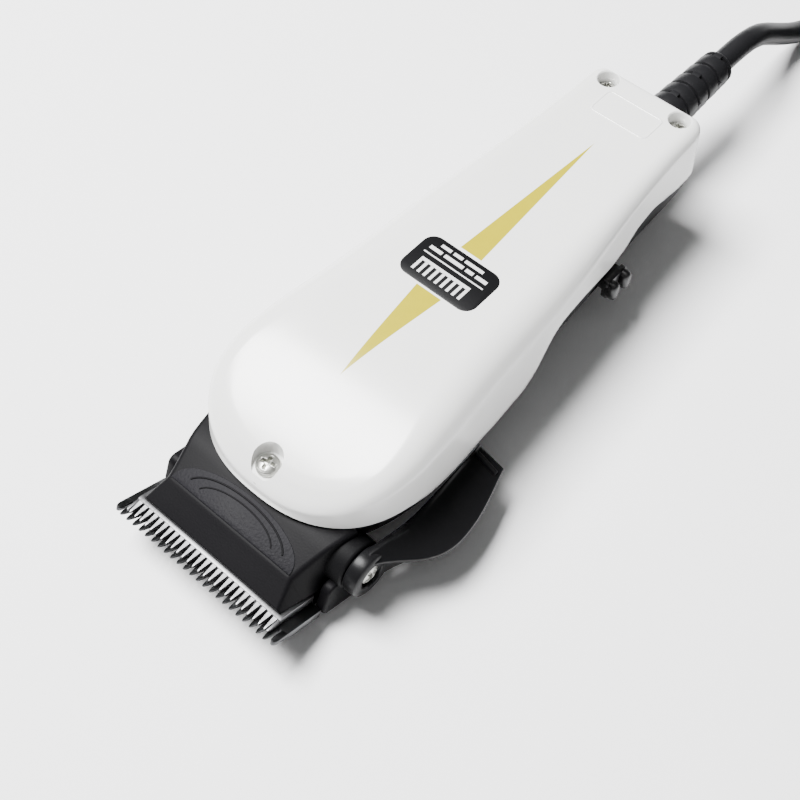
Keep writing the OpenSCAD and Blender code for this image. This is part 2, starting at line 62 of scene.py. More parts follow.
def cr_path(pts, m):
    """Catmull-Rom through points."""
    out = []
    n = len(pts)
    for i in range(n - 1):
        a, b, c, d = pts[max(0, i - 1)], pts[i], pts[i + 1], pts[min(n - 1, i + 2)]
        for k in range(m):
            t = k / m
            out.append([0.5 * ((2 * b[j]) + (c[j] - a[j]) * t + (2 * a[j] - 5 * b[j] + 4 * c[j] - d[j]) * t * t
                               + (3 * b[j] - a[j] - 3 * c[j] + d[j]) * t ** 3) for j in range(len(b))])
    out.append(list(pts[-1]))
    return out

def link(me, name, mat=None):
    o = bpy.data.objects.new(name, me)
    bpy.context.scene.collection.objects.link(o)
    if mat: o.data.materials.append(mat)
    return o

def make(name, verts, faces, mat, sharp=32, bevel=0.0, seg=3, sub=0, bang=30, merge=1e-6, frm=None):
    """Mesh object from millimetre vertices; bevelled, smoothed, modifiers applied."""
    if frm is not None: verts = [frm(v) for v in verts]
    me = bpy.data.meshes.new(name)
    me.from_pydata([(v[0] * MM, v[1] * MM, v[2] * MM) for v in verts], [], faces)
    bm = bmesh.new(); bm.from_mesh(me)
    bmesh.ops.remove_doubles(bm, verts=bm.verts, dist=merge)
    bmesh.ops.recalc_face_normals(bm, faces=bm.faces)
    bm.to_mesh(me); bm.free()
    o = link(me, name, mat)
    if bevel:
        b = o.modifiers.new("b", "BEVEL"); b.width = bevel * MM; b.segments = seg; b.limit_method = "ANGLE"
        b.angle_limit = math.radians(bang); b.harden_normals = False; b.use_clamp_overlap = True
    if sub:
        s = o.modifiers.new("s", "SUBSURF"); s.levels = sub; s.render_levels = sub
    apply(o)
    smooth(o, sharp)
    return o

def apply(o):
    if not o.modifiers: return
    bpy.context.view_layer.update()
    me = bpy.data.meshes.new_from_object(o.evaluated_get(bpy.context.evaluated_depsgraph_get()))
    o.modifiers.clear()
    o.data = me

def smooth(o, deg=32):
    bm = bmesh.new(); bm.from_mesh(o.data)
    for f in bm.faces: f.smooth = True
    for e in bm.edges:
        e.smooth = not (len(e.link_faces) != 2 or e.calc_face_angle(0) > math.radians(deg))
    bm.to_mesh(o.data); bm.free()

def boolean(o, cutter, op="DIFFERENCE"):
    """Cut or join with the manifold solver; if that gives nothing or changes nothing, the exact one."""
    n0 = len(o.data.vertices); keep = o.data.copy()
    for solver in ("MANIFOLD", "EXACT"):
        m = o.modifiers.new("x", "BOOLEAN"); m.object = cutter; m.operation = op; m.solver = solver
        apply(o)
        if len(o.data.vertices) not in (0, n0): break
        print("boolean: %s on %s with %s gave %d vertices" % (solver, o.name, cutter.name, len(o.data.vertices)))
        if solver == "MANIFOLD": o.data = keep.copy()
    if op != "INTERSECT" and len(o.data.vertices) < 0.5 * n0: o.data = keep; print("boolean: %s left as it was" % o.name)
    bpy.data.objects.remove(cutter)

def loft_faces(n, m, closed=True):
    f = []
    for i in range(n - 1):
        for j in range(m if closed else m - 1):
            f.append((i * m + j, i * m + (j + 1) % m, (i + 1) * m + (j + 1) % m, (i + 1) * m + j))
    return f

def loft(name, secs, mat, caps=True, **kw):
    """secs: list of rings of 3-D points (same count)."""
    n, m = len(secs), len(secs[0])
    v = [p for s in secs for p in s]
    f = loft_faces(n, m)
    if caps: f += [tuple(range(m - 1, -1, -1)), tuple((n - 1) * m + j for j in range(m))]
    return make(name, v, f, mat, **kw)

def turned(name, prof, mat, at=(0, 0, 0), axis="Z", n=64, frm=None, **kw):
    """Body of revolution: prof = [(r, h), ...] from one end to the other, in mm."""
    secs = []
    for r, h in prof:
        ring = []
        for k in range(n):
            a = 2 * math.pi * k / n
            c, s = r * math.cos(a), r * math.sin(a)
            p = {"Z": (c, s, h), "Y": (c, h, s), "X": (h, c, s)}[axis]
            ring.append((p[0] + at[0], p[1] + at[1], p[2] + at[2]))
        secs.append(ring)
    return loft(name, secs, mat, caps=True, frm=frm, **kw)

def tube(name, pts, r, mat, n=12, radii=None, **kw):
    P = [Vector(p) for p in pts]
    secs = []; up = None
    for i, p in enumerate(P):
        t = (P[min(i + 1, len(P) - 1)] - P[max(i - 1, 0)]).normalized()
        if up is None:
            up = Vector((0, 0, 1)) if abs(t.z) < 0.9 else Vector((1, 0, 0))
        u = (up - t * up.dot(t)).normalized(); w = t.cross(u); up = u
        rr = radii[i] if radii else r
        secs.append([tuple(p + (u * math.cos(2 * math.pi * k / n) + w * math.sin(2 * math.pi * k / n)) * rr) for k in range(n)])
    return loft(name, secs, mat, **kw)

def put(o, body, slot, *replaced):
    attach(o, body)
    if replaced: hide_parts(*replaced)
    return o

# blade frame: local (x, u, v) -> row frame
BT = math.radians(23); CB, SB = math.cos(BT), math.sin(BT)
def bf(p): return (p[0], -85 + p[1] * CB + p[2] * SB, 12.5 - p[1] * SB + p[2] * CB)

# ------------------------------------------------------------------ materials
def nt(m):
    m.use_nodes = True
    t = m.node_tree
    return t, t.nodes, t.links, t.nodes["Principled BSDF"]

def mat(name, col, rough=0.5, metal=0.0, grain=900.0, bump=0.05, rvar=0.08, cvar=0.06, coat=0.0, coat_rough=0.1,
        stretch=None, spec=0.5, bump2=None, wear=None, aniso=0.0, detail=4.0, dist=0.0003):
    m = bpy.data.materials.new(name)
    t, N, L, b = nt(m)
    b.inputs["Metallic"].default_value = metal
    b.inputs["Specular IOR Level"].default_value = spec
    b.inputs["Coat Weight"].default_value = coat
    b.inputs["Coat Roughness"].default_value = coat_rough
    b.inputs["Anisotropic"].default_value = aniso
    tc = N.new("ShaderNodeTexCoord")
    mp = N.new("ShaderNodeMapping"); L.new(tc.outputs["Object"], mp.inputs["Vector"])
    if stretch: mp.inputs["Scale"].default_value = stretch
    n1 = N.new("ShaderNodeTexNoise"); n1.inputs["Scale"].default_value = grain; n1.inputs["Detail"].default_value = detail
    L.new(mp.outputs["Vector"], n1.inputs["Vector"])
    n2 = N.new("ShaderNodeTexNoise"); n2.inputs["Scale"].default_value = 60.0; n2.inputs["Detail"].default_value = 3.0
    L.new(tc.outputs["Object"], n2.inputs["Vector"])
    r = N.new("ShaderNodeMapRange"); r.inputs["To Min"].default_value = max(0.02, rough - rvar); r.inputs["To Max"].default_value = min(1, rough + rvar)
    L.new(n2.outputs["Fac"], r.inputs["Value"]); L.new(r.outputs["Result"], b.inputs["Roughness"])
    cr = N.new("ShaderNodeValToRGB")
    cr.color_ramp.elements[0].position = 0.25; cr.color_ramp.elements[1].position = 0.75
    lo = [c * (1 - cvar) for c in col]; hi = [min(1, c * (1 + cvar)) for c in col]
    cr.color_ramp.elements[0].color = (*lo, 1); cr.color_ramp.elements[1].color = (*hi, 1)
    mx = N.new("ShaderNodeMath"); mx.operation = "MULTIPLY_ADD"
    L.new(n1.outputs["Fac"], mx.inputs[0]); mx.inputs[1].default_value = 0.5
    hf = N.new("ShaderNodeMath"); hf.operation = "MULTIPLY"; L.new(n2.outputs["Fac"], hf.inputs[0]); hf.inputs[1].default_value = 0.5
    L.new(hf.outputs[0], mx.inputs[2]); L.new(mx.outputs[0], cr.inputs["Fac"])
    L.new(cr.outputs["Color"], b.inputs["Base Color"])
    bp = N.new("ShaderNodeBump"); bp.inputs["Strength"].default_value = bump; bp.inputs["Distance"].default_value = dist
    L.new(n1.outputs["Fac"], bp.inputs["Height"]); L.new(bp.outputs["Normal"], b.inputs["Normal"])
    if wear:
        g = N.new("ShaderNodeNewGeometry")
        w = N.new("ShaderNodeMapRange"); w.inputs["From Min"].default_value = 0.52; w.inputs["From Max"].default_value = 0.62
        L.new(g.outputs["Pointiness"], w.inputs["Value"])
        mixn = N.new("ShaderNodeMix"); mixn.data_type = "RGBA"
        L.new(w.outputs["Result"], mixn.inputs["Factor"]); L.new(cr.outputs["Color"], mixn.inputs[6]); mixn.inputs[7].default_value = (*wear, 1)
        L.new(mixn.outputs[2], b.inputs["Base Color"])
    return m

def half_plane(N, L, src, k, c):
    """node giving k*src + c"""
    a = N.new("ShaderNodeMath"); a.operation = "MULTIPLY_ADD"; L.new(src, a.inputs[0]); a.inputs[1].default_value = k; a.inputs[2].default_value = c
    return a.outputs[0]

def cover_material():
    m = mat("cover_white", (0.80, 0.80, 0.785), rough=0.24, grain=260.0, bump=0.035, rvar=0.06, cvar=0.012, coat=0.25, coat_rough=0.16, dist=0.0004)
    t, N, L, b = nt(m)
    base = b.inputs["Base Color"].links[0].from_socket
    tc = [n for n in N if n.type == "TEX_COORD"][0]
    sp = N.new("ShaderNodeSeparateXYZ"); L.new(tc.outputs["Object"], sp.inputs[0])
    ax = N.new("ShaderNodeMath"); ax.operation = "ABSOLUTE"; L.new(sp.outputs["X"], ax.inputs[0])
    def less(a, bval):  # a < b as smooth 0..1 over 0.06 mm
        s = N.new("ShaderNodeMath"); s.operation = "SUBTRACT"
        L.new(bval, s.inputs[0]); L.new(a, s.inputs[1])
        k = N.new("ShaderNodeMath"); k.operation = "MULTIPLY_ADD"; k.use_clamp = True
        L.new(s.outputs[0], k.inputs[0]); k.inputs[1].default_value = 1 / (0.06 * MM); k.inputs[2].default_value = 0.5
        return k.outputs[0]
    def val(x):
        v = N.new("ShaderNodeValue"); v.outputs[0].default_value = x; return v.outputs[0]
    def mul(a, c):
        k = N.new("ShaderNodeMath"); k.operation = "MULTIPLY"; L.new(a, k.inputs[0]); L.new(c, k.inputs[1]); return k.outputs[0]
    def mx(a, c):
        k = N.new("ShaderNodeMath"); k.operation = "MAXIMUM"; L.new(a, k.inputs[0]); L.new(c, k.inputs[1]); return k.outputs[0]
    Y = sp.outputs["Y"]
    k1 = 3.45 / 28.2
    front = mul(less(ax.outputs[0], half_plane(N, L, Y, k1, k1 * 38.7 * MM)), less(Y, val(-10.75 * MM)))
    k2 = 2.95 / 45.0
    rear = mul(less(ax.outputs[0], half_plane(N, L, Y, -k2, k2 * 48.0 * MM)), less(val(3.25 * MM), Y))
    up = less(val(20 * MM), sp.outputs["Z"])
    mask = mul(mx(front, rear), up)
    yn = N.new("ShaderNodeTexNoise"); yn.inputs["Scale"].default_value = 500; L.new(tc.outputs["Object"], yn.inputs["Vector"])
    yr = N.new("ShaderNodeValToRGB"); yr.color_ramp.elements[0].color = (0.37, 0.315, 0.0, 1); yr.color_ramp.elements[1].color = (0.41, 0.35, 0.0, 1)
    L.new(yn.outputs["Fac"], yr.inputs["Fac"])
    mixn = N.new("ShaderNodeMix"); mixn.data_type = "RGBA"
    L.new(mask, mixn.inputs["Factor"]); L.new(base, mixn.inputs[6]); L.new(yr.outputs["Color"], mixn.inputs[7])
    L.new(mixn.outputs[2], b.inputs["Base Color"])
    return m

def brushed(name, col, rough, stretch, grain=1500.0, bump=0.12, **kw):
    return mat(name, col, rough=rough, metal=1.0, grain=grain, bump=bump, stretch=stretch, rvar=0.07, cvar=0.10, **kw)

M = {}
M["white"] = cover_material()
M["black"] = mat("housing_black", (0.0042, 0.0042, 0.0046), rough=0.52, grain=3200, bump=0.25, rvar=0.05, cvar=0.12, dist=0.00012, spec=0.07)
M["nose"] = mat("nose_black", (0.0040, 0.0038, 0.0045), rough=0.48, grain=2600, bump=0.20, rvar=0.06, cvar=0.12, dist=0.00012, spec=0.06)
M["panel"] = mat("nose_panel", (0.0075, 0.0072, 0.0088), rough=0.52, grain=1600, bump=0.6, rvar=0.08, cvar=0.25, dist=0.0002, spec=0.07)
M["lever"] = mat("lever_black", (0.0055, 0.0055, 0.006), rough=0.30, grain=1800, bump=0.10, rvar=0.05, cvar=0.10, dist=0.00015, spec=0.12)
M["badge"] = mat("badge_black", (0.004, 0.004, 0.0045), spec=0.15, rough=0.34, grain=1500, bump=0.03, rvar=0.05, cvar=0.2)
M["mark"] = mat("badge_silver", (0.62, 0.62, 0.62), rough=0.35, grain=1500, bump=0.03, rvar=0.05, cvar=0.05)
M["zinc"] = mat("zinc", (0.40, 0.40, 0.375), rough=0.30, metal=1.0, grain=1200, bump=0.15, rvar=0.10, cvar=0.10, dist=0.0001)
M["steel"] = brushed("blade_steel", (0.18, 0.18, 0.185), 0.42, (1, 0.05, 1))
M["steel_dark"] = brushed("blade_fixed_steel", (0.055, 0.056, 0.058), 0.30, (0.05, 1, 1), bump=0.08)
M["acetal"] = mat("acetal", (0.72, 0.69, 0.58), rough=0.45, grain=700, bump=0.05)
M["spring"] = brushed("spring_steel", (0.48, 0.48, 0.48), 0.30, (1, 1, 1))
M["core"] = mat("core_iron", (0.20, 0.20, 0.21), rough=0.5, metal=0.8, grain=400, bump=0.5, stretch=(0.05, 0.05, 6), rvar=0.1, cvar=0.3)
M["copper"] = mat("copper", (0.62, 0.24, 0.09), rough=0.25, metal=1.0, grain=300, bump=0.6, stretch=(0.1, 6, 0.1), coat=0.5)
M["tape"] = mat("tape", (0.72, 0.56, 0.10), rough=0.3, grain=500, bump=0.05, coat=0.3)
M["alloy"] = mat("arm_alloy", (0.58, 0.59, 0.60), rough=0.45, metal=1.0, grain=900, bump=0.2)
M["brass"] = mat("brass", (0.65, 0.48, 0.20), rough=0.3, metal=1.0, grain=900, bump=0.1)
M["rubber"] = mat("rubber", (0.012, 0.012, 0.012), rough=0.75, grain=1500, bump=0.2)
M["switch"] = mat("switch_black", (0.0075, 0.0075, 0.008), rough=0.34, grain=1800, bump=0.10, cvar=0.1)
M["wire"] = mat("wire_sleeve", (0.10, 0.05, 0.035), rough=0.45, grain=900, bump=0.08)
M["cord"] = mat("cord_black", (0.0085, 0.0085, 0.0095), rough=0.42, grain=1400, bump=0.15, rvar=0.08, cvar=0.15, spec=0.25, dist=0.00015)
M["tie"] = mat("tie_black", (0.014, 0.014, 0.015), rough=0.8, grain=2500, bump=0.6)
M["plug"] = mat("plug_black", (0.0085, 0.0085, 0.009), rough=0.48, grain=2600, bump=0.2, cvar=0.12, dist=0.00012)
M["pin"] = mat("pin_nickel", (0.70, 0.67, 0.58), rough=0.22, metal=1.0, grain=1500, bump=0.06, cvar=0.06)

# ------------------------------------------------------------------ camera
cam_d = bpy.data.cameras.new("cam"); cam_d.lens = 59.24; cam_d.sensor_width = 36
cam_d.clip_start = 0.01; cam_d.clip_end = 20
cam = bpy.data.objects.new("cam", cam_d); bpy.context.scene.collection.objects.link(cam)
AZ, EL = math.radians(41.7), math.radians(56.44)
back = Vector((math.sin(AZ) * math.cos(EL), -math.cos(AZ) * math.cos(EL), math.sin(EL)))
cam.location = (0.11181, -0.14554, 0.25709)
cam.rotation_mode = "QUATERNION"; cam.rotation_quaternion = (-back).to_track_quat("-Z", "Y")
bpy.context.scene.camera = cam

# ------------------------------------------------------------------ cord first
ROUTE = [(0,103.5,21),(0,110,21),(0,117,20.3),(0,124.5,17.8),(0.4,132,13.4),(1.1,140,8.7),(2.1,148,5.1),(3.3,156,3.4),(4.3,162,3.05),(4.9,166,3.05)]
TAIL = [(51.6,201.8,21.4),(61.2,199.2,21.4),(70.5,194.5,20.9),(78.7,187.2,19.2),(83.8,177.2,16.6),(85.4,166,13.8),(85.5,157,11.3),(84.3,149,9.3),(80.9,141,7.9),(75.6,133,7.1),(72.2,125,6.85),(71,117,6.85)]
CX, CY, RO, RI = 42.0, 166.0, 37.1, 24.9
def coil_points():
    out = []
    ramp = 0.15; total = 8.5 - 75 / 360; lay = (total - 3 * ramp) / 4
    steps = 36
    zs = [3.05, 9.17, 15.29, 21.4]
    n = int(total * steps)
    for i in range(1, n):
        q = total * i / n
        k = 0; rest = q
        while k < 3 and rest > lay + ramp: rest -= lay + ramp; k += 1
        a, b2 = (RO, RI) if k % 2 == 0 else (RI, RO)
        if rest <= lay or k == 3:
            r = lerp(a, b2, clamp(rest / lay, 0, 1)); z = zs[k]
        else:
            r = b2; z = lerp(zs[k], zs[k + 1], sstep((rest - lay) / ramp))
        ang = math.pi - 2 * math.pi * q
        out.append((CX + r * math.cos(ang), CY + r * math.sin(ang), z))
    return out
path = cr_path(ROUTE, 2)[:-1] + [ROUTE[-1]] + coil_points() + cr_path(TAIL, 2)[1:]
clen = sum((Vector(path[i + 1]) - Vector(path[i])).length for i in range(len(path) - 1))
cu = bpy.data.curves.new("mains_cord_curve", "CURVE"); cu.dimensions = "3D"; cu.bevel_depth = 3.0 * MM; cu.bevel_resolution = 6; cu.use_fill_caps = True
sp = cu.splines.new("POLY"); sp.points.add(len(path) - 1)
for i, p in enumerate(path): sp.points[i].co = (p[0] * MM, p[1] * MM, p[2] * MM, 1)
cu.splines[0].use_smooth = True
cord = bpy.data.objects.new("mains_cord_flex", cu); bpy.context.scene.collection.objects.link(cord); cu.materials.append(M["cord"])
put(cord, "housing", "cord_black", "mains_cord", "cord_coil")

# tie strap round the coil
def rrect(w, h, r, n=6):
    out = []
    for cx, cy, a0 in ((w - r, h - r, 0), (-(w - r), h - r, 90), (-(w - r), -(h - r), 180), (w - r, -(h - r), 270)):
        for k in range(n + 1):
            a = math.radians(a0 + 90 * k / n); out.append((cx + r * math.cos(a), cy + r * math.sin(a)))
    return out
def strap(name, w, h, t, half, at, mat_, r=2.2):
    outer = rrect(w, h, r); inner = rrect(w - t, h - t, r - t)
    secs = []
    for x, prof in ((-half, inner), (-half, outer), (half, outer), (half, inner)):
        secs.append([(at[0] + x, at[1] + p[0], at[2] + p[1]) for p in prof])
    secs.append(secs[0])
    return loft(name, secs, mat_, caps=False, bevel=0.2, seg=2, bang=50)
tie = strap("coil_tie_strap", 10.0, 12.55, 0.7, 4.0, (CX, CY + 31, 12.6), M["tie"])
put(tie, "housing", "tie_black", "coil_tie")

# plug
PX, PY, PZ = 71.0, 78.0, 6.85
def stadium(hw, r, n=12):
    out = []
    for s, a0 in ((1, -90), (-1, 90)):
        for k in range(n + 1):
            a = math.radians(a0 + 180 * k / n); out.append((s * (hw - r) + r * math.cos(a), r * math.sin(a)))
    return out
secs = []
for y, hw, r in ((0, 16.9, 6.3), (0.25, 17.35, 6.65), (0.8, 17.6, 6.8), (6, 17.65, 6.85), (12, 17.4, 6.7), (18, 16.4, 6.3), (22, 14.8, 5.9), (26, 12.2, 5.3), (30, 8.6, 4.8), (33, 6.2, 4.5), (35, 4.9, 4.2), (36, 4.4, 4.05), (38.6, 4.05, 4.0), (39, 3.8, 3.75)):
    secs.append([(PX + p[0], PY + y, PZ + p[1]) for p in stadium(max(hw, r + 0.01), r)])
plug = loft("plug_moulding", secs, M["plug"], sharp=40)
for i, yy in enumerate((10.5, 13.2, 15.9)):
    for s in (-1, 1):
        rib = loft("plug_rib_%d_%s" % (i, "a" if s > 0 else "b"),
                   [[(PX + x, PY + yy + dy, PZ + s * (6.2 + dz)) for dy, dz in ((-0.7, 0), (-0.45, (0.75 if s > 0 else 0.62) if abs(x) < 8.1 else 0.3), (0.45, (0.75 if s > 0 else 0.62) if abs(x) < 8.1 else 0.3), (0.7, 0))]
                    for x in (-9, -8, 0, 8, 9)], M["plug"], sharp=50)
        put(rib, "housing", "plug_black")
put(plug, "housing", "plug_black", "plug_body")
pins = []
for s in (-1, 1):
    x = PX + s * 9.3
    pin = turned("plug_pin_%s" % ("a" if s > 0 else "b"), [(0.02, -19), (0.9, -18.95), (1.5, -18.7), (1.9, -18), (2.0, -17.2), (2.0, -9.5), (2.0, 0.2)], M["pin"], at=(x, PY, PZ), axis="Y", n=32)
    slv = turned("plug_sleeve_%s" % ("a" if s > 0 else "b"), [(1.7, -9.6), (1.98, -9.55), (2.02, -9.4), (2.02, 0.1), (1.7, 0.15)], M["plug"], at=(x, PY, PZ), axis="Y", n=32)
    put(pin, "housing", "pin_nickel", "plug_pins"); put(slv, "housing", "plug_black"); pins.append(pin)

# ------------------------------------------------------------------ outline laws of the housing (as in the CAD)
FRONT, BF, REAR, NB, TOPZ = -40.0, 25.2, 70.8, 2.4, 35.2
WT = [(-40,26),(-30,25.4),(-20,24.3),(-10,23.4),(0,22.7),(10,21.9),(20,20.8),(30,19.4),(40,18.1),(50,17.1),(60,16.4),(72,16)]
RT = [(-66,3.0),(-55,3.8),(-42,5.8),(-32,7.3),(-22,8.2),(-2,8),(16,7.1),(36,5.1),(54,3.8),(72,3)]
PT = [(-66,20.8),(-58,20.2),(-48,19.6),(-35,16.3),(-22,14.8),(-14,13.8),(-7,13.8),(-3,15),(0,17.4),(3,21),(6,23.8),(10,25),
      (17,24.5),(25,22.6),(32,20.9),(37,21.2),(43,23.4),(49,23.6),(57,21.4),(63,20.2),(72,20.4)]
def zt(y): return TOPZ if y > -20 else TOPZ - 7.8 * ((-20 - y) / 41) ** 2.5
def zp(y): return curve(y, PT)

def half_outline():
    pts = []
    nb = 44
    for i in range(nb):
        t = math.radians(90 * (1 - (i / nb) ** 1.12))
        pts.append((26 * max(0.0, math.cos(t)) ** (2 / NB), FRONT - BF * math.sin(t) ** (2 / NB)))
    ns = 96
    for i in range(ns):
        y = lerp(FRONT, REAR - 3.6, i / ns); pts.append((curve(y, WT), y))
    w = curve(REAR, WT)
    for i in range(8):
        a = math.radians(90 * i / 8); pts.append((w - 3.6 + 3.6 * math.cos(a), REAR - 3.6 + 3.6 * math.sin(a)))
    for i in range(8):
        pts.append(((w - 3.6) * (1 - i / 8), REAR))
    pts.append((0.0, REAR))
    return pts
H = half_outline()
OUT = H + [(-x, y) for x, y in reversed(H[1:-1])]
NP = len(OUT)
NRM = []
for i in range(NP):
    a, b = OUT[(i - 1) % NP], OUT[(i + 1) % NP]
    dx, dy = b[0] - a[0], b[1] - a[1]; l = math.hypot(dx, dy)
    NRM.append((dy / l, -dx / l))

def cover_mesh():
    V = []; rings = []
    def ring(fn):
        r = []
        for i in range(NP):
            r.append(len(V)); V.append(fn(i))
        rings.append(r)
    def shoulder(i):
        y = OUT[i][1]; rear = clamp(NRM[i][1], 0, 1) ** 2
        h = lerp(curve(y, RT), 1.6, rear)
        front = clamp(-NRM[i][1], 0, 1) ** 3
        h = lerp(h, 4.2, front)
        h = min(h, 0.9 * (zt(y) - zp(y)) / 0.85)
        return h, 0.85 * h
    def at(i, off, z): return (OUT[i][0] - NRM[i][0] * off, OUT[i][1] - NRM[i][1] * off, z)
    def wall(i, f):
        h, v = shoulder(i)
        y = OUT[i][1]; z0 = zp(y) + 0.05; z1 = zt(y) - v
        return at(i, -0.45 * (1 - f) ** 1.3, lerp(z0, z1, f))
    ring(lambda i: (lambda p: (p[0] - NRM[i][0] * -0.0, p[1], p[2]))(at(i, -0.2, zp(OUT[i][1]) + 0.03)))
    for f in (0.03, 0.12, 0.3, 0.5, 0.7, 0.85): ring(lambda i, f=f: wall(i, f))
    K = 9
    for k in range(K + 1):
        a = math.radians(90 * k / K)
        def fn(i, a=a):
            h, v = shoulder(i)
            off = h * (1 - math.cos(a)); p = at(i, off, 0)
            y0 = OUT[i][1]
            zz = lerp(zt(y0), zt(p[1]), 1 - math.cos(a)) if True else 0
            return (p[0], p[1], zz - v * (1 - math.sin(a)))
        ring(fn)
    for f in (0.12, 0.28, 0.46, 0.64, 0.82, 1.0):
        def fn(i, f=f):
            h, v = shoulder(i); p = at(i, h, 0)
            m = (0.0, clamp(p[1], -44, 60))
            y = lerp(p[1], m[1], f)
            return (lerp(p[0], m[0], f), y, zt(y))
        ring(fn)
    F = []
    for a, b in zip(rings, rings[1:]):
        for i in range(NP):
            j = (i + 1) % NP; F.append((a[i], a[j], b[j], b[i]))
    return V, F

V, F = cover_mesh()
cover = make("cover_shell", V, F, M["white"], sharp=60, merge=2e-6)
m_ = cover.modifiers.new("s", "SOLIDIFY"); m_.thickness = 2.1 * MM; m_.offset = -1; m_.use_even_offset = True
apply(cover)
# boss under the front screw and round the rear screws, then the recesses
FS = (0.0, -60.6)
def top_at(x, y):
    hit, loc, nor, idx = cover.ray_cast(Vector((x * MM, y * MM, 0.06)), Vector((0, 0, -1)))
    return loc.z / MM if hit else zt(y)
hs = [top_at(0, FS[1] + 3.9), top_at(0, FS[1] - 3.9), top_at(3.9, FS[1]), top_at(-3.9, FS[1])]
sl = math.atan2(hs[0] - hs[1], 7.8)   # slope of the top where the screw sits
zs = sum(hs) / 4
def under(a):
    x, y = 4.1 * math.cos(a), FS[1] + 4.1 * math.sin(a)
    hit, loc, nor, idx = cover.ray_cast(Vector((x * MM, y * MM, 0.06)), Vector((0, 0, -1)))
    return (x, y, (loc.z / MM - 0.9) if hit and loc.z > 0.0235 else 23.5)
ba = [2 * math.pi * k / 64 for k in range(64)]
boss = loft("t", [[(4.1 * math.cos(a), FS[1] + 4.1 * math.sin(a), 21.4) for a in ba], [under(a) for a in ba]], M["white"])
boolean(cover, boss, "UNION")
print("front screw recess:", [round(v, 2) for v in hs], round(math.degrees(sl), 1), round(zs, 2), round(zt(FS[1]), 2))
cut = turned("t", [(3.5, 24.65), (3.5, 40)], M["white"], at=(0, FS[1], 0), n=72); boolean(cover, cut)
prof = [(3.3, -1.3)] + [(3.55 + 0.75 * (1 - math.cos(math.radians(a))), -0.75 + 0.75 * math.sin(math.radians(a))) for a in range(0, 91, 15)] + [(4.4, 0.6)]
cs, sn = math.cos(sl), math.sin(sl)
def tilt(p): return (p[0], FS[1] + (p[1]) * cs - p[2] * sn, zs + p[1] * sn + p[2] * cs)
cut = turned("t", [(1.6, 18), (1.6, 26)], M["white"], at=(0, FS[1], 0), n=32); boolean(cover, cut)
for s in (-1, 1):
    boss = turned("t", [(3.6, 21.4), (3.6, 34.2)], M["white"], at=(s * 10.4, 66.6, 0), n=48); boolean(cover, boss, "UNION")
    cut = turned("t", [(1.5, 20), (1.5, 31.2), (2.6, 31.21), (2.6, 34.75), (2.75, 35.0), (3.0, 35.22), (3.0, 40)], M["white"], at=(s * 10.4, 67.4, 0), n=48); boolean(cover, cut)
cut = turned("t", [(4.5, 60), (4.5, 75)], M["white"], at=(0, 0, 21), axis="Y", n=48); boolean(cover, cut)
smooth(cover, 40)
put(cover, "housing", "cover_white", "top_cover")

# faint raised frame near the rear of the top
def frame_line(name, cx, cy, hw, hh, r, z, w, t, mat_):
    o = rrect(hw, hh, r, 8); i_ = rrect(hw - w, hh - w, max(0.2, r - w), 8)
    ring = []
    for q in range(len(o)):
        ring.append([(cx + o[q][0], cy + o[q][1], z - 0.1), (cx + lerp(o[q][0], i_[q][0], 0.25), cy + lerp(o[q][1], i_[q][1], 0.25), z + t),
                     (cx + lerp(o[q][0], i_[q][0], 0.75), cy + lerp(o[q][1], i_[q][1], 0.75), z + t), (cx + i_[q][0], cy + i_[q][1], z - 0.1)])
    ring.append(ring[0])
    return loft(name, ring, mat_, caps=False, sharp=80)
emb = frame_line("cover_frame_mark", 0, 60.4, 8.2, 4.3, 1.6, 35.2, 0.7, 0.13, M["white"])
put(emb, "housing", "cover_white")

# badge with generic marks
bd = rrect(10.4, 6.35, 3.0, 10)
badge = loft("badge_plate", [[(p[0], -3.9 + p[1], z) for p in bd] for z in (34.8, 35.32)], M["badge"], bevel=0.18, seg=3, bang=50)
put(badge, "housing", "badge_black", "badge")
def bar(name, x0, x1, y0, y1, z=35.3, t=0.07):
    o = make(name, [(x0, y0, z), (x1, y0, z), (x1, y1, z), (x0, y1, z), (x0, y0, z + t), (x1, y0, z + t), (x1, y1, z + t), (x0, y1, z + t)],
             [(0, 1, 2, 3), (4, 5, 6, 7), (0, 1, 5, 4), (1, 2, 6, 5), (2, 3, 7, 6), (3, 0, 4, 7)], M["mark"], bevel=0.03, seg=1)
    return put(o, "housing", "badge_black")
bar("badge_line", -8.3, 8.3, -2.95, -2.6)
for i in range(9):
    x = -7.4 + i * 1.62
    bar("badge_tooth_%d" % i, x, x + 0.75, -8.3, -5.0)
bar("badge_comb_back", -7.4, 6.3, -5.1, -4.25)
for i, (a, b) in enumerate(((-8.0, -4.6), (-3.9, 1.4), (2.1, 4.2), (4.9, 8.0))): bar("badge_dash_a_%d" % i, a, b, -1.5, -0.55)
for i, (a, b) in enumerate(((-6.2, -3.4), (-2.7, -0.2), (0.5, 5.6))): bar("badge_dash_b_%d" % i, a, b, 0.35, 1.2)

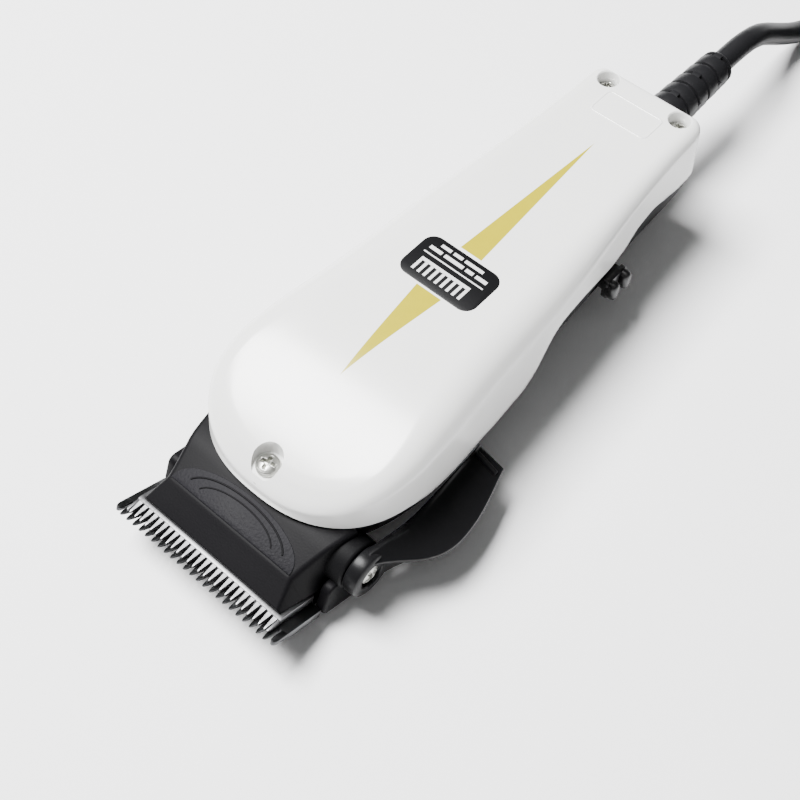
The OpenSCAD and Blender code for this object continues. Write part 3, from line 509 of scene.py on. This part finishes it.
# ------------------------------------------------------------------ screws with a cross recess
def pan(name, at, R, Hh, body, slot_, node=None, frm=None, shank=None, rot=45, mt=None):
    """Domed head with a cross recess, seat at `at`, pointing up +Z (or through frm)."""
    nr, na = 40, 112
    V = []; F = []
    rot = math.radians(rot)
    def z_at(x, y, r):
        q = r / R
        z = Hh * (1 - 0.42 * q ** 2.4) if q < 0.86 else Hh * lerp(1 - 0.42 * 0.86 ** 2.4, 0.30, ((q - 0.86) / 0.14) ** 2.2)
        c, s = math.cos(rot), math.sin(rot)
        u, v = c * x + s * y, -s * x + c * y
        d = 0.0
        for a, b in ((u, v), (v, u)):
            la = 0.60 * R; wa = 0.125 * R
            k = (1 - sstep((abs(a) - la * 0.72) / (la * 0.42))) * (1 - sstep((abs(b) - wa * 0.7) / (wa * 0.9)))
            d = max(d, k)
        dd = (1 - sstep((r - 0.16 * R) / (0.16 * R))) * 0.9
        d = max(d, dd)
        return z - d * Hh * 0.62
    for i in range(nr + 1):
        r = R * (i / nr) ** 0.9
        for k in range(na):
            a = 2 * math.pi * k / na
            x, y = r * math.cos(a), r * math.sin(a)
            V.append((x, y, z_at(x, y, r)))
    for i in range(nr):
        for k in range(na): F.append((i * na + k, i * na + (k + 1) % na, (i + 1) * na + (k + 1) % na, (i + 1) * na + k))
    base = (nr) * na
    extra = [(R, 0.0), ((shank or 1.2), 0.0), ((shank or 1.2), -3.0), (0.02, -3.0)]
    prev = base
    for rr, z in extra:
        st = len(V)
        for k in range(na):
            a = 2 * math.pi * k / na; V.append((rr * math.cos(a), rr * math.sin(a), z))
        for k in range(na): F.append((prev + k, prev + (k + 1) % na, st + (k + 1) % na, st + k))
        prev = st
    g = frm or (lambda p: p)
    V = [g((p[0], p[1], p[2])) for p in V]
    V = [(p[0] + at[0], p[1] + at[1], p[2] + at[2]) for p in V]
    o = make(name, V, F, mt or M["zinc"], sharp=38)
    put(o, body, slot_, *([node] if node else []))
    return o
pan("screw_front_head", (0, FS[1], 24.65), 2.68, 1.95, "housing", "zinc", "case_screw_front", shank=1.4, rot=12)
for s in (-1, 1): pan("screw_rear_head_%s" % ("a" if s > 0 else "b"), (s * 10.4, 67.4, 31.2), 2.25, 1.8, "housing", "zinc", "case_screws_rear", shank=1.4, rot=30 + 20 * s)
XF = lambda p: (p[2], p[0], p[1])
pan("screw_lever_head", (26.9, -60.5, 12.4), 2.5, 1.4, "lever", "zinc", "lever_screw", frm=XF, shank=1.25, rot=20)
for s in (-1, 1):
    pan("screw_blade_head_%s" % ("a" if s > 0 else "b"), (0, 0, 0), 2.9, 1.6, "blade_carriage", "zinc", "blade_screws",
        frm=lambda p, s=s: bf((s * 9 + p[0], 20.5 - p[1], -2.2 - p[2])), shank=1.7, rot=15 * s)

# ------------------------------------------------------------------ lower housing
def zbot(y): return (6 * ((y - 48) / 22.8) ** 2 if y > 48 else 0.0) + (2 * ((-56 - y) / 9) ** 2 if y < -56 else 0.0)
def lower_mesh():
    V = []; rings = []
    def ring(fn):
        r = []
        for i in range(NP): r.append(len(V)); V.append(fn(i))
        rings.append(r)
    def base(i):
        x, y = OUT[i]; x -= NRM[i][0] * 0.12; y -= NRM[i][1] * 0.12
        w = max(0.5, abs(x))
        wy = 26 * max(0.0, 1 - (max(0, FRONT - y) / BF) ** NB) ** (1 / NB) if y < FRONT else curve(y, WT)
        kx = x * min(7.0, 0.4 * max(wy, 0.5)) / max(wy, 0.5)
        ky = y + (2.0 * sstep((-58 - y) / 7) if y < -58 else 0) - 0.8 * clamp(NRM[i][1], 0, 1)
        return x, y, kx, ky
    def low(i, t):
        x, y, kx, ky = base(i)
        f = math.cos(t) ** 1.25; g = 1 - math.sin(t) ** 1.25
        yy = lerp(ky, y, f); z0 = zbot(yy); z1 = zp(y) - 0.06
        return (lerp(kx, x, f), yy, z0 + (z1 - z0) * g)
    ring(lambda i: (lambda x, y, kx, ky: (x - NRM[i][0] * 0.25, y - NRM[i][1] * 0.25, zp(OUT[i][1]) - 0.03))(*base(i)))
    for a in (0, 1.5, 6, 12, 20, 28, 36, 44, 52, 60, 68, 76, 84, 90): ring(lambda i, a=a: low(i, math.radians(a) if a else 0.0))
    for f in (0.35, 0.7, 1.0):
        def fn(i, f=f):
            x, y, kx, ky = base(i); m = (0.0, clamp(ky, -58, 66))
            yy = lerp(ky, m[1], f); return (lerp(kx, 0, f), yy, zbot(yy))
        ring(fn)
    F = []
    for a, b in zip(rings, rings[1:]):
        for i in range(NP):
            j = (i + 1) % NP; F.append((a[j], a[i], b[i], b[j]))
    return V, F
V, F = lower_mesh()
lower = make("lower_shell", V, F, M["black"], sharp=50, merge=2e-6)
def inner_solid():
    """closed form a little inside the shell's skin, to trim posts and blocks with"""
    o = make("t_inner", [(x * 0.955, y * 0.99, z + 0.9 if z < 12 else z - 0.4) for x, y, z in V], F, M["black"], merge=2e-6)
    bm = bmesh.new(); bm.from_mesh(o.data)
    bmesh.ops.holes_fill(bm, edges=[e for e in bm.edges if len(e.link_faces) == 1], sides=0)
    bmesh.ops.triangulate(bm, faces=[f for f in bm.faces if len(f.verts) > 4])
    bmesh.ops.recalc_face_normals(bm, faces=bm.faces)
    bm.to_mesh(o.data); bm.free()
    return o
m_ = lower.modifiers.new("s", "SOLIDIFY"); m_.thickness = 1.9 * MM; m_.offset = -1; m_.use_even_offset = True
apply(lower)
def bbox_cut(x0, x1, y0, y1, z0, z1, frm=None, bev=0.0):
    v = [(x0, y0, z0), (x1, y0, z0), (x1, y1, z0), (x0, y1, z0), (x0, y0, z1), (x1, y0, z1), (x1, y1, z1), (x0, y1, z1)]
    return make("t", v, [(0, 3, 2, 1), (4, 5, 6, 7), (0, 1, 5, 4), (1, 2, 6, 5), (2, 3, 7, 6), (3, 0, 4, 7)], M["black"], frm=frm, bevel=bev)
# blade pocket in the heel, cord hole, switch slot, power screw bore, open front towards the nose
boolean(lower, bbox_cut(-21.7, 21.7, -12, 26.2, -30, 2.5, bf))
boolean(lower, bbox_cut(-17, 17, -80, -50, 2.6, 18.0))
boolean(lower, turned("t", [(4.5, 60), (4.5, 75)], M["black"], at=(0, 0, 21), axis="Y", n=48))
boolean(lower, bbox_cut(13, 24, 24.1, 35.1, 14.6, 18.8, bev=0.8))
boolean(lower, turned("t", [(2.6, -30), (2.6, -12)], M["black"], at=(0, -50, 14.5), axis="X", n=40))
boolean(lower, turned("t", [(4.6, -30), (4.6, -24.2)], M["black"], at=(0, -50, 14.5), axis="X", n=40))
boolean(lower, turned("t", [(3.08, 10), (3.08, 30)], M["black"], at=(0, -60.5, 12.4), axis="X", n=48))
smooth(lower, 40)
put(lower, "housing", "housing_black", "lower_housing")

# inner posts of the lower housing
posts = []
for i, (x, y, r, z0, z1, bore) in enumerate(((0, -60.6, 3.5, 15.8, 19.9, 1.45), (10.4, 67.0, 3.0, 4, 20, 1.45), (-10.4, 67.0, 3.0, 4, 20, 1.45), (-7.6, 4.7, 2.6, 1, 9.9, 1.25), (-7.6, 29.4, 2.6, 1, 9.9, 1.25), (6.6, 62, 2.6, 1, 15.5, 1.05), (-6.6, 62, 2.6, 1, 15.5, 1.05))):
    o = turned("post_%d" % i, [(bore, z1 - 3), (bore, z1 - 0.3), (bore + 0.3, z1), (r - 0.2, z1), (r, z1 - 0.3), (r + 0.25, z0), (bore, z0)], M["black"], at=(x, y, 0), n=32, sharp=40)
    if z0 < 10: boolean(o, inner_solid(), "INTERSECT"); smooth(o, 40)
    put(o, "housing", "housing_black")
for i, (a, b) in enumerate((((8.1, 49.5, 1.2), (12.6, 59.5, 18.5)), ((14, -53.5, 1.5), (17.5, -46.5, 18)), ((8.4, 23.5, 1), (12.2, 39.5, 12.3)))):
    o = bbox_cut(a[0], b[0], a[1], b[1], a[2], b[2], bev=0.4); o.name = "block_%d" % i; boolean(o, inner_solid(), "INTERSECT"); put(o, "housing", "housing_black")

# ------------------------------------------------------------------ nose
def bz(y, v): return 12.5 - (y + 85) * math.tan(BT) + v / CB
def nose_sec(y, zt_, ht, zb_, hb, th=1.5, r=1.0):
    """C-shaped section: rounded top corners, hollow below."""
    out = []
    sx, sz = hb - ht, zt_ - zb_
    l = math.hypot(sx, sz) or 1; ux, uz = sx / l, -sz / l           # from the top corner down the side
    rr = min(r, 0.45 * l)
    A = (ht - rr, zt_); B = (ht, zt_); C = (ht + ux * rr, zt_ + uz * rr)
    def q(t): return (lerp(lerp(A[0], B[0], t), lerp(B[0], C[0], t), t), lerp(lerp(A[1], B[1], t), lerp(B[1], C[1], t), t))
    right = [(hb, zb_), (lerp(hb, C[0], 0.5), lerp(zb_, C[1], 0.5))] + [q(t) for t in (1, .75, .5, .25, 0)]
    top = right + [(ht * 0.5, zt_), (0, zt_), (-ht * 0.5, zt_)] + [(-x, z) for x, z in reversed(right)]
    ti = max(0.12, min(th, (zt_ - zb_) * 0.6))
    inner = [(-(hb - th), zb_), (-(ht - th * 1.1), zt_ - ti), (0, zt_ - ti), (ht - th * 1.1, zt_ - ti), (hb - th, zb_)]
    return [(x, y, z) for x, z in top + inner]
NS = [(-79.15, 13.30, 19.4, bz(-79.15, 2.5), 20.2, 0.2), (-79.0, 13.52, 19.42, bz(-79.0, 2.5), 20.22, 0.4), (-78.5, 13.80, 19.3, bz(-78.5, 2.5), 20.25, 0.6),
      (-76, 15.15, 18.8, bz(-76, 2.5), 20.4, 0.9), (-74.2, 16.12, 18.35, bz(-74.2, 2.5), 20.5, 1.1), (-73.6, 16.46, 18.2, bz(-73.6, 2.5), 20.55, 1.1),
      (-73.35, 16.57, 18.1, bz(-73.35, 2.5), 20.6, 1.1), (-73.1, 16.63, 18.15, bz(-73.1, 2.5), 20.62, 1.1), (-70, 17.7, 18.9, bz(-70, 2.5), 20.9, 1.1), (-66, 19.05, 20, bz(-66, 2.5), 21.4, 1.1),
      (-64.6, 19.5, 20.4, bz(-64.6, 2.5), 21.6, 1.1), (-63, 19.8, 20.8, bz(-63, 2.5), 21.9, 1.1), (-60.6, 19.9, 21.3, bz(-60.6, 2.5), 22.2, 1.1), (-57.5, 19.9, 21.9, 3.9, 22.4, 1.1)]
nose = loft("nose_shell", [nose_sec(*s[:5], r=s[5]) for s in NS], M["nose"], sharp=24)
boolean(nose, bbox_cut(14.1, 18.9, 17, 25.6, 1, 12, bf))
boolean(nose, turned("t", [(3.08, 10), (3.08, 30)], M["black"], at=(0, -60.5, 12.4), axis="X", n=48))
smooth(nose, 24)
put(nose, "housing", "housing_black", "lower_housing")
# D-shaped panel behind the ridge
def plane_z(y): return 16.57 + (y + 73.35) * (19.3 - 16.57) / 8.35
pan_pts = []
for k in range(33):
    a = math.pi * k / 32
    x = 17.4 * math.cos(a); y = -73.05 + 7.1 * math.sin(a) ** 0.86
    pan_pts.append((x, y))
pv = [[(x, y, plane_z(y) - 0.5) for x, y in pan_pts], [(x, y, plane_z(y) + 0.22) for x, y in pan_pts]]
panel = loft("nose_panel", pv, M["panel"], bevel=0.22, seg=3, bang=40, sharp=30)
put(panel, "housing", "housing_black")
# fine relief on the panel: a generic arc groove pair
for q, (k, w) in enumerate(((0.80, 0.22), (0.62, 0.18))):
    pts = []
    for j in range(31):
        a = math.pi * (0.08 + 0.84 * j / 30)
        x = 17.4 * k * math.cos(a); y = -72.6 + 7.0 * k * math.sin(a) ** 0.9
        pts.append((x, y, plane_z(y) + 0.22))
    o = tube("nose_panel_line_%d" % q, pts, w, M["nose"], n=8, sharp=60); put(o, "housing", "housing_black")

# side skirts beside the blades, and the lever boss
def hull_poly(circles, n=40):
    pts = []
    for u, v, r in circles:
        for k in range(n): a = 2 * math.pi * k / n; pts.append((u + r * math.cos(a), v + r * math.sin(a)))
    pts = sorted(set((round(a, 4), round(b, 4)) for a, b in pts))
    def half(ps):
        h = []
        for p in ps:
            while len(h) >= 2 and (h[-1][0] - h[-2][0]) * (p[1] - h[-2][1]) - (h[-1][1] - h[-2][1]) * (p[0] - h[-2][0]) <= 0: h.pop()
            h.append(p)
        return h
    a, b = half(pts), half(pts[::-1])
    return a[:-1] + b[:-1]
HP = hull_poly(((17.5, -0.1, 2.1), (25.4, -0.1, 2.1), (25.4, 5.5, 2.1), (17.5, 4.2, 2.1)))
for s in (-1, 1):
    secs = [[(s * x, u, v) for u, v in HP] for x in (21.75, 24.2)]
    sk = loft("nose_skirt_%s" % ("a" if s > 0 else "b"), secs, M["nose"], frm=bf, bevel=0.5, seg=3, bang=50, sharp=35)
    put(sk, "housing", "housing_black", "lower_housing")
bs = turned("lever_boss", [(3.08, 17), (3.08, 24.3), (3.3, 24.7), (5.5, 24.7), (5.85, 24.5), (6.0, 24.1), (6.05, 17)], M["black"], at=(0, -60.5, 12.4), axis="X", n=64, sharp=40)
put(bs, "housing", "housing_black")

# ------------------------------------------------------------------ blades
def comb_teeth(name, n, pitch, x_off, stations, matl, body, slot_, node=None, edge=None):
    """Tapered ground teeth: stations [(u, width, v_low, v_high, top width)] from root to tip."""
    V = []; F = []
    for i in range(n):
        x0 = (i - (n - 1) / 2) * pitch + x_off
        base = len(V)
        for u, w, v0, v1, wt in stations:
            V += [(x0 - w / 2, u, v0), (x0 + w / 2, u, v0), (x0 + wt / 2, u, v1), (x0 - wt / 2, u, v1)]
        m = len(stations)
        for k in range(m - 1):
            for j in range(4):
                a = base + k * 4
                F.append((a + j, a + (j + 1) % 4, a + 4 + (j + 1) % 4, a + 4 + j))
        F.append((base + 3, base + 2, base + 1, base)); a = base + 4 * (m - 1); F.append((a, a + 1, a + 2, a + 3))
    o = make(name, V, F, matl, frm=bf, sharp=25, bevel=0.05, seg=1, bang=40)
    return put(o, body, slot_, *([node] if node else []))
# fixed blade: plate with a ground bevel towards the teeth
def plate(name, prof, hw_of, matl, body, slot_, node=None, bevel=0.15):
    """prof: closed (u, v) outline; hw_of(u) half width; flat ends."""
    secs = [[(-hw_of(u), u, v) for u, v in prof], [(hw_of(u), u, v) for u, v in prof]]
    o = loft(name, secs, matl, frm=bf, bevel=bevel, seg=2, bang=25, sharp=30)
    return put(o, body, slot_, *([node] if node else []))
plate("fixed_blade_front", [(4.4, -1.35), (6.4, -2.05), (7.6, -2.2), (15.15, -2.2), (15.15, 0.0), (4.4, 0.0)], lambda u: 23.8, M["steel_dark"], "blade_carriage", "blade_fixed_steel", "fixed_blade", 0.2)
plate("fixed_blade_heel", [(15.0, -2.2), (25.6, -2.2), (25.6, 0.0), (15.0, 0.0)], lambda u: 21.4, M["steel_dark"], "blade_carriage", "blade_fixed_steel", None, 0.25)
comb_teeth("fixed_blade_teeth", 23, 1.93, 0, [(5.0, 1.30, -1.5, 0.0, 1.25), (3.4, 1.22, -1.22, 0.0, 1.10), (2.0, 1.08, -1.0, -0.02, 0.92), (1.0, 0.86, -0.82, -0.08, 0.66), (0.4, 0.60, -0.68, -0.16, 0.40), (0.08, 0.26, -0.52, -0.24, 0.14)],
           M["steel_dark"], "blade_carriage", "blade_fixed_steel")
for s in (-1, 1):
    HPc = [(22.35, 4.9), (23.8, 4.9), (23.8, 2.2), (23.72, 1.6), (23.5, 1.1), (23.15, 0.8), (22.75, 0.85), (22.45, 1.2), (22.3, 1.8)]
    secs = [[(s * x, u, v) for x, u in HPc] for v in (-1.25, 0.0)]
    o = loft("fixed_blade_corner_%s" % ("a" if s > 0 else "b"), secs, M["steel_dark"], frm=bf, bevel=0.18, seg=2, bang=50, sharp=35); put(o, "blade_carriage", "blade_fixed_steel")
# moving blade: bright bevelled back edge, long ground flank and fine teeth
plate("moving_blade_plate", [(4.35, 0.12), (15.1, 0.12), (15.1, 2.15), (6.0, 2.15), (5.2, 2.05), (4.6, 1.72)], lambda u: 21.2, M["steel"], "moving_blade", "blade_steel", "moving_blade", 0.12)
comb_teeth("moving_blade_teeth", 26, 1.6, 0, [(4.9, 1.18, 0.12, 1.80, 1.12), (4.2, 1.14, 0.12, 1.50, 1.0), (3.2, 1.02, 0.12, 1.12, 0.80), (2.3, 0.86, 0.12, 0.80, 0.56), (1.7, 0.60, 0.12, 0.56, 0.34), (1.5, 0.36, 0.12, 0.40, 0.2)],
           M["steel"], "moving_blade", "blade_steel")
for s in (-1, 1):
    HPc = [(20.5, 5.0), (21.2, 5.0), (21.2, 2.3), (21.05, 1.7), (20.8, 1.5), (20.55, 1.7)]
    secs = [[(s * x, u, 0.12) for x, u in HPc], [(s * x, u, 0.6 + 0.42 * (u - 1.5) / 1.5) for x, u in HPc]]
    o = loft("moving_blade_corner_%s" % ("a" if s > 0 else "b"), secs, M["steel"], frm=bf, bevel=0.1, seg=2, bang=40, sharp=30); put(o, "moving_blade", "blade_steel")

# ------------------------------------------------------------------ taper lever
hub = turned("lever_hub", [(3.0, 19.9), (3.0, 24.9), (5.2, 24.9), (5.5, 25.1), (5.6, 25.5), (5.6, 27.7), (5.45, 28.15), (5.1, 28.4), (3.3, 28.45), (3.05, 28.2), (3.0, 26.95), (1.3, 26.9), (1.3, 19.9)],
             M["lever"], at=(0, -60.5, 12.4), axis="X", n=72, sharp=35)
put(hub, "lever", "lever_black", "taper_lever")
# arm sections along y: inner top edge, crease, outer lip, underside
LS = [  # y, x_in, x_crease, x_out, z_top, z_crease, z_lip, z_low
    (-61.0, 25.3, 26.6, 28.2, 17.4, 17.7, 17.0, 8.0),
    (-58.5, 25.3, 26.9, 29.0, 17.6, 17.9, 16.4, 7.9),
    (-55.0, 25.8, 27.4, 31.0, 17.4, 17.5, 14.8, 8.3),
    (-51.5, 26.3, 28.0, 33.6, 17.0, 16.9, 13.6, 8.7),
    (-48.0, 26.6, 28.1, 35.6, 16.6, 16.2, 12.8, 9.0),
    (-44.0, 26.6, 27.8, 36.6, 16.2, 15.6, 12.3, 9.2),
    (-40.0, 26.4, 27.3, 36.6, 15.9, 15.2, 12.0, 9.3),
    (-35.0, 26.1, 26.8, 35.9, 15.6, 14.9, 11.9, 9.5),
    (-30.0, 25.8, 26.3, 34.6, 15.3, 14.7, 11.9, 9.6),
    (-25.5, 25.5, 25.9, 33.2, 15.1, 14.6, 12.0, 9.8),
    (-22.6, 25.2, 25.6, 32.4, 15.0, 14.6, 12.2, 10.0)]
LSs = cr_path([list(q) for q in LS], 5)
secs = []
for k, (y, xi, xc, xo, zt_, zc, zl, zlo) in enumerate(LSs):
    e = clamp((y + 22.6) / -1.2, 0, 1)
    b = xc + 0.45 * (xo - xc)
    bowl = -0.35 * math.sin(math.pi * clamp((y + 60) / 36, 0, 1))
    secs.append([(xi, y, zlo + 1.2), (xi, y, zt_ - 0.35), (xi + 0.35, y, zt_), (xc, y, zc + 0.05), (xc + 0.35, y, zc - 0.45), (b, y, lerp(zc, zl, 0.5) + bowl), (xo - 0.7, y, zl + 0.25), (xo - 0.15, y, zl + 0.05),
                 (xo, y, zl - 0.5), (xo - 0.35, y, zl - 1.5), (xo - 1.4, y, zl - 2.1), (b, y, zlo + 0.5), (xi + 1.0, y, zlo)])
arm = loft("lever_arm", secs, M["lever"], sharp=42, bevel=0.22, seg=2, bang=60)
put(arm, "lever", "lever_black")
rid = loft("lever_ridge", [[(26.4 + t * 5.6, -24.6 + dy - 0.25 * t, lerp(14.75, 12.55, t) + dz) for dy, dz in ((-0.75, -0.5), (-0.5, 0.35), (-0.15, 0.62), (0.2, 0.62), (0.5, 0.35), (0.75, -0.5))] for t in (0, 0.03, 0.5, 0.97, 1)],
           M["lever"], bevel=0.15, seg=2, bang=40, sharp=40)
put(rid, "lever", "lever_black")

# ------------------------------------------------------------------ switch
sw_base = loft("switch_plate", [[(x, 31.9 + p[0], 16.1 + p[1]) for p in rrect(3.9 - ins, 2.9 - ins, 1.3 - ins * 0.5, 6)] for x, ins in ((19.95, 0.0), (20.9, 0.0), (21.25, 0.12), (21.4, 0.45))], M["switch"], sharp=35)
put(sw_base, "switch", "switch_black", "switch_slider")
for i, d in enumerate((-2.3, 2.3)):
    kn = loft("switch_lobe_%d" % i, [[(x, 31.9 + d + (1.75 - ins) * math.cos(2 * math.pi * k / 24), 16.1 + (2.75 - ins) * math.sin(2 * math.pi * k / 24)) for k in range(24)] for x, ins in ((20.8, 0), (22.3, 0.02), (22.9, 0.25), (23.25, 0.7), (23.35, 1.2))], M["switch"], sharp=50)
    put(kn, "switch", "switch_black")
stem = bbox_cut(12.9, 20.2, 28.9, 34.9, 15.0, 18.4, bev=0.3); stem.name = "switch_stem"; stem.data.materials.clear(); stem.data.materials.append(M["switch"]); put(stem, "switch", "switch_black")

# ------------------------------------------------------------------ power screw head
ps = turned("power_screw_body", [(2.5, -14.6), (2.5, -24.3), (4.0, -24.3), (4.1, -24.5), (4.1, -26.2), (3.9, -26.5), (3.5, -26.6), (0.02, -26.6)][::-1], M["zinc"], at=(0, -50, 14.5), axis="X", n=56, sharp=35)
boolean(ps, bbox_cut(-27, -25.6, -54.6, -45.4, 14.05, 14.95)); smooth(ps, 35)
put(ps, "power_screw", "zinc", "power_screw")

# ------------------------------------------------------------------ strain relief
pr = [(6.4, 65.6), (6.4, 68.3), (4.4, 68.4), (4.4, 71.0), (5.35, 71.05), (5.6, 71.3), (5.6, 73.6)]
y = 74.2
segs = [(74.2, 5.5), (79.0, 5.35), (83.8, 5.2), (88.6, 5.0), (93.4, 4.82), (98.2, 4.65)]
for y0, r0 in segs:
    pr += [(r0, y0), (r0, y0 + 3.0), (r0 - 0.12, y0 + 3.2), (r0 - 0.75, y0 + 3.35), (r0 - 0.8, y0 + 4.2), (r0 - 0.25, y0 + 4.4)]
pr += [(4.5, 102.6), (4.45, 103.1), (4.1, 103.6), (3.0, 103.7)]
sr = turned("strain_relief_sleeve", pr, M["cord"], at=(0, 0, 21), axis="Y", n=56, sharp=40)
# each groove is bridged by ribs
put(sr, "housing", "cord_black", "strain_relief")
for k, (y0, r0) in enumerate(segs):
    for s in (0, 1):
        a = math.radians(90 * (k % 2) + 180 * s)
        cx, cz = (r0 - 0.55) * math.cos(a), 21 + (r0 - 0.55) * math.sin(a)
        o = make("relief_rib_%d_%d" % (k, s), [(cx + dx * math.cos(a) - dt * math.sin(a), y0 + dy, cz + dx * math.sin(a) + dt * math.cos(a)) for dy in (2.9, 4.7) for dx, dt in ((-0.5, -1.1), (0.45, -1.1), (0.45, 1.1), (-0.5, 1.1))],
                 [(0, 1, 2, 3), (4, 7, 6, 5), (0, 4, 5, 1), (1, 5, 6, 2), (2, 6, 7, 3), (3, 7, 4, 0)], M["cord"], bevel=0.12, seg=2)
        put(o, "housing", "cord_black")

# ------------------------------------------------------------------ finish of the CAD pieces that are shown as they are
SHOWN = {"cam_follower": "acetal", "blade_guide": "acetal", "blade_spring": "spring", "lever_cam": "zinc", "lever_washer": "zinc", "stator_core": "core",
         "coil_bobbin": "acetal", "coil_winding": "copper", "coil_tape": "tape", "stator_screws": "zinc", "drive_arm": "alloy", "armature_core": "core",
         "armature_rivets": "zinc", "arm_leaf_spring": "spring", "leaf_screws": "zinc", "return_spring_left": "spring", "return_spring_right": "spring",
         "power_nut": "brass", "arm_bumper": "rubber", "switch_body": "acetal", "switch_contacts": "brass", "lead_wires": "wire", "wire_connectors": "acetal",
         "cord_clamp": "black", "clamp_screws": "zinc"}
for n, k in SHOWN.items():
    o = NODES[n]
    o.data.materials.clear(); o.data.materials.append(M[k])

# ------------------------------------------------------------------ floor and light
fl = bpy.data.meshes.new("floor"); R_ = 3.0; ng = 1
fl.from_pydata([(-R_, -R_, 0), (R_, -R_, 0), (R_, R_, 0), (-R_, R_, 0)], [], [(0, 1, 2, 3)])
fm = bpy.data.materials.new("floor_pale"); t, N, L, b = nt(fm)
b.inputs["Base Color"].default_value = (0.93, 0.93, 0.935, 1); b.inputs["Roughness"].default_value = 0.75; b.inputs["Specular IOR Level"].default_value = 0.25
nn = N.new("ShaderNodeTexNoise"); nn.inputs["Scale"].default_value = 300; bb = N.new("ShaderNodeBump"); bb.inputs["Strength"].default_value = 0.02
L.new(nn.outputs["Fac"], bb.inputs["Height"]); L.new(bb.outputs["Normal"], b.inputs["Normal"])
floor = link(fl, "floor", fm); floor.location = (0, 0, -0.00002)
w = bpy.data.worlds.new("studio"); bpy.context.scene.world = w; w.use_nodes = True
w.node_tree.nodes["Background"].inputs["Color"].default_value = (1.0, 1.0, 1.0, 1); w.node_tree.nodes["Background"].inputs["Strength"].default_value = 0.12
def area(name, loc, target, size, power, col=(1, 1, 1), size_y=None):
    l = bpy.data.lights.new(name, "AREA"); l.energy = power; l.size = size; l.color = col
    if size_y: l.shape = "RECTANGLE"; l.size_y = size_y
    o = bpy.data.objects.new(name, l); bpy.context.scene.collection.objects.link(o)
    o.location = loc; d = Vector(target) - Vector(loc); o.rotation_mode = "QUATERNION"; o.rotation_quaternion = d.to_track_quat("-Z", "Y")
    return o
area("key", (-0.38, -0.13, 0.92), (0, 0, 0), 0.48, 46.0)
area("fill", (0.45, -0.35, 1.0), (0, 0, 0), 0.8, 1.3)
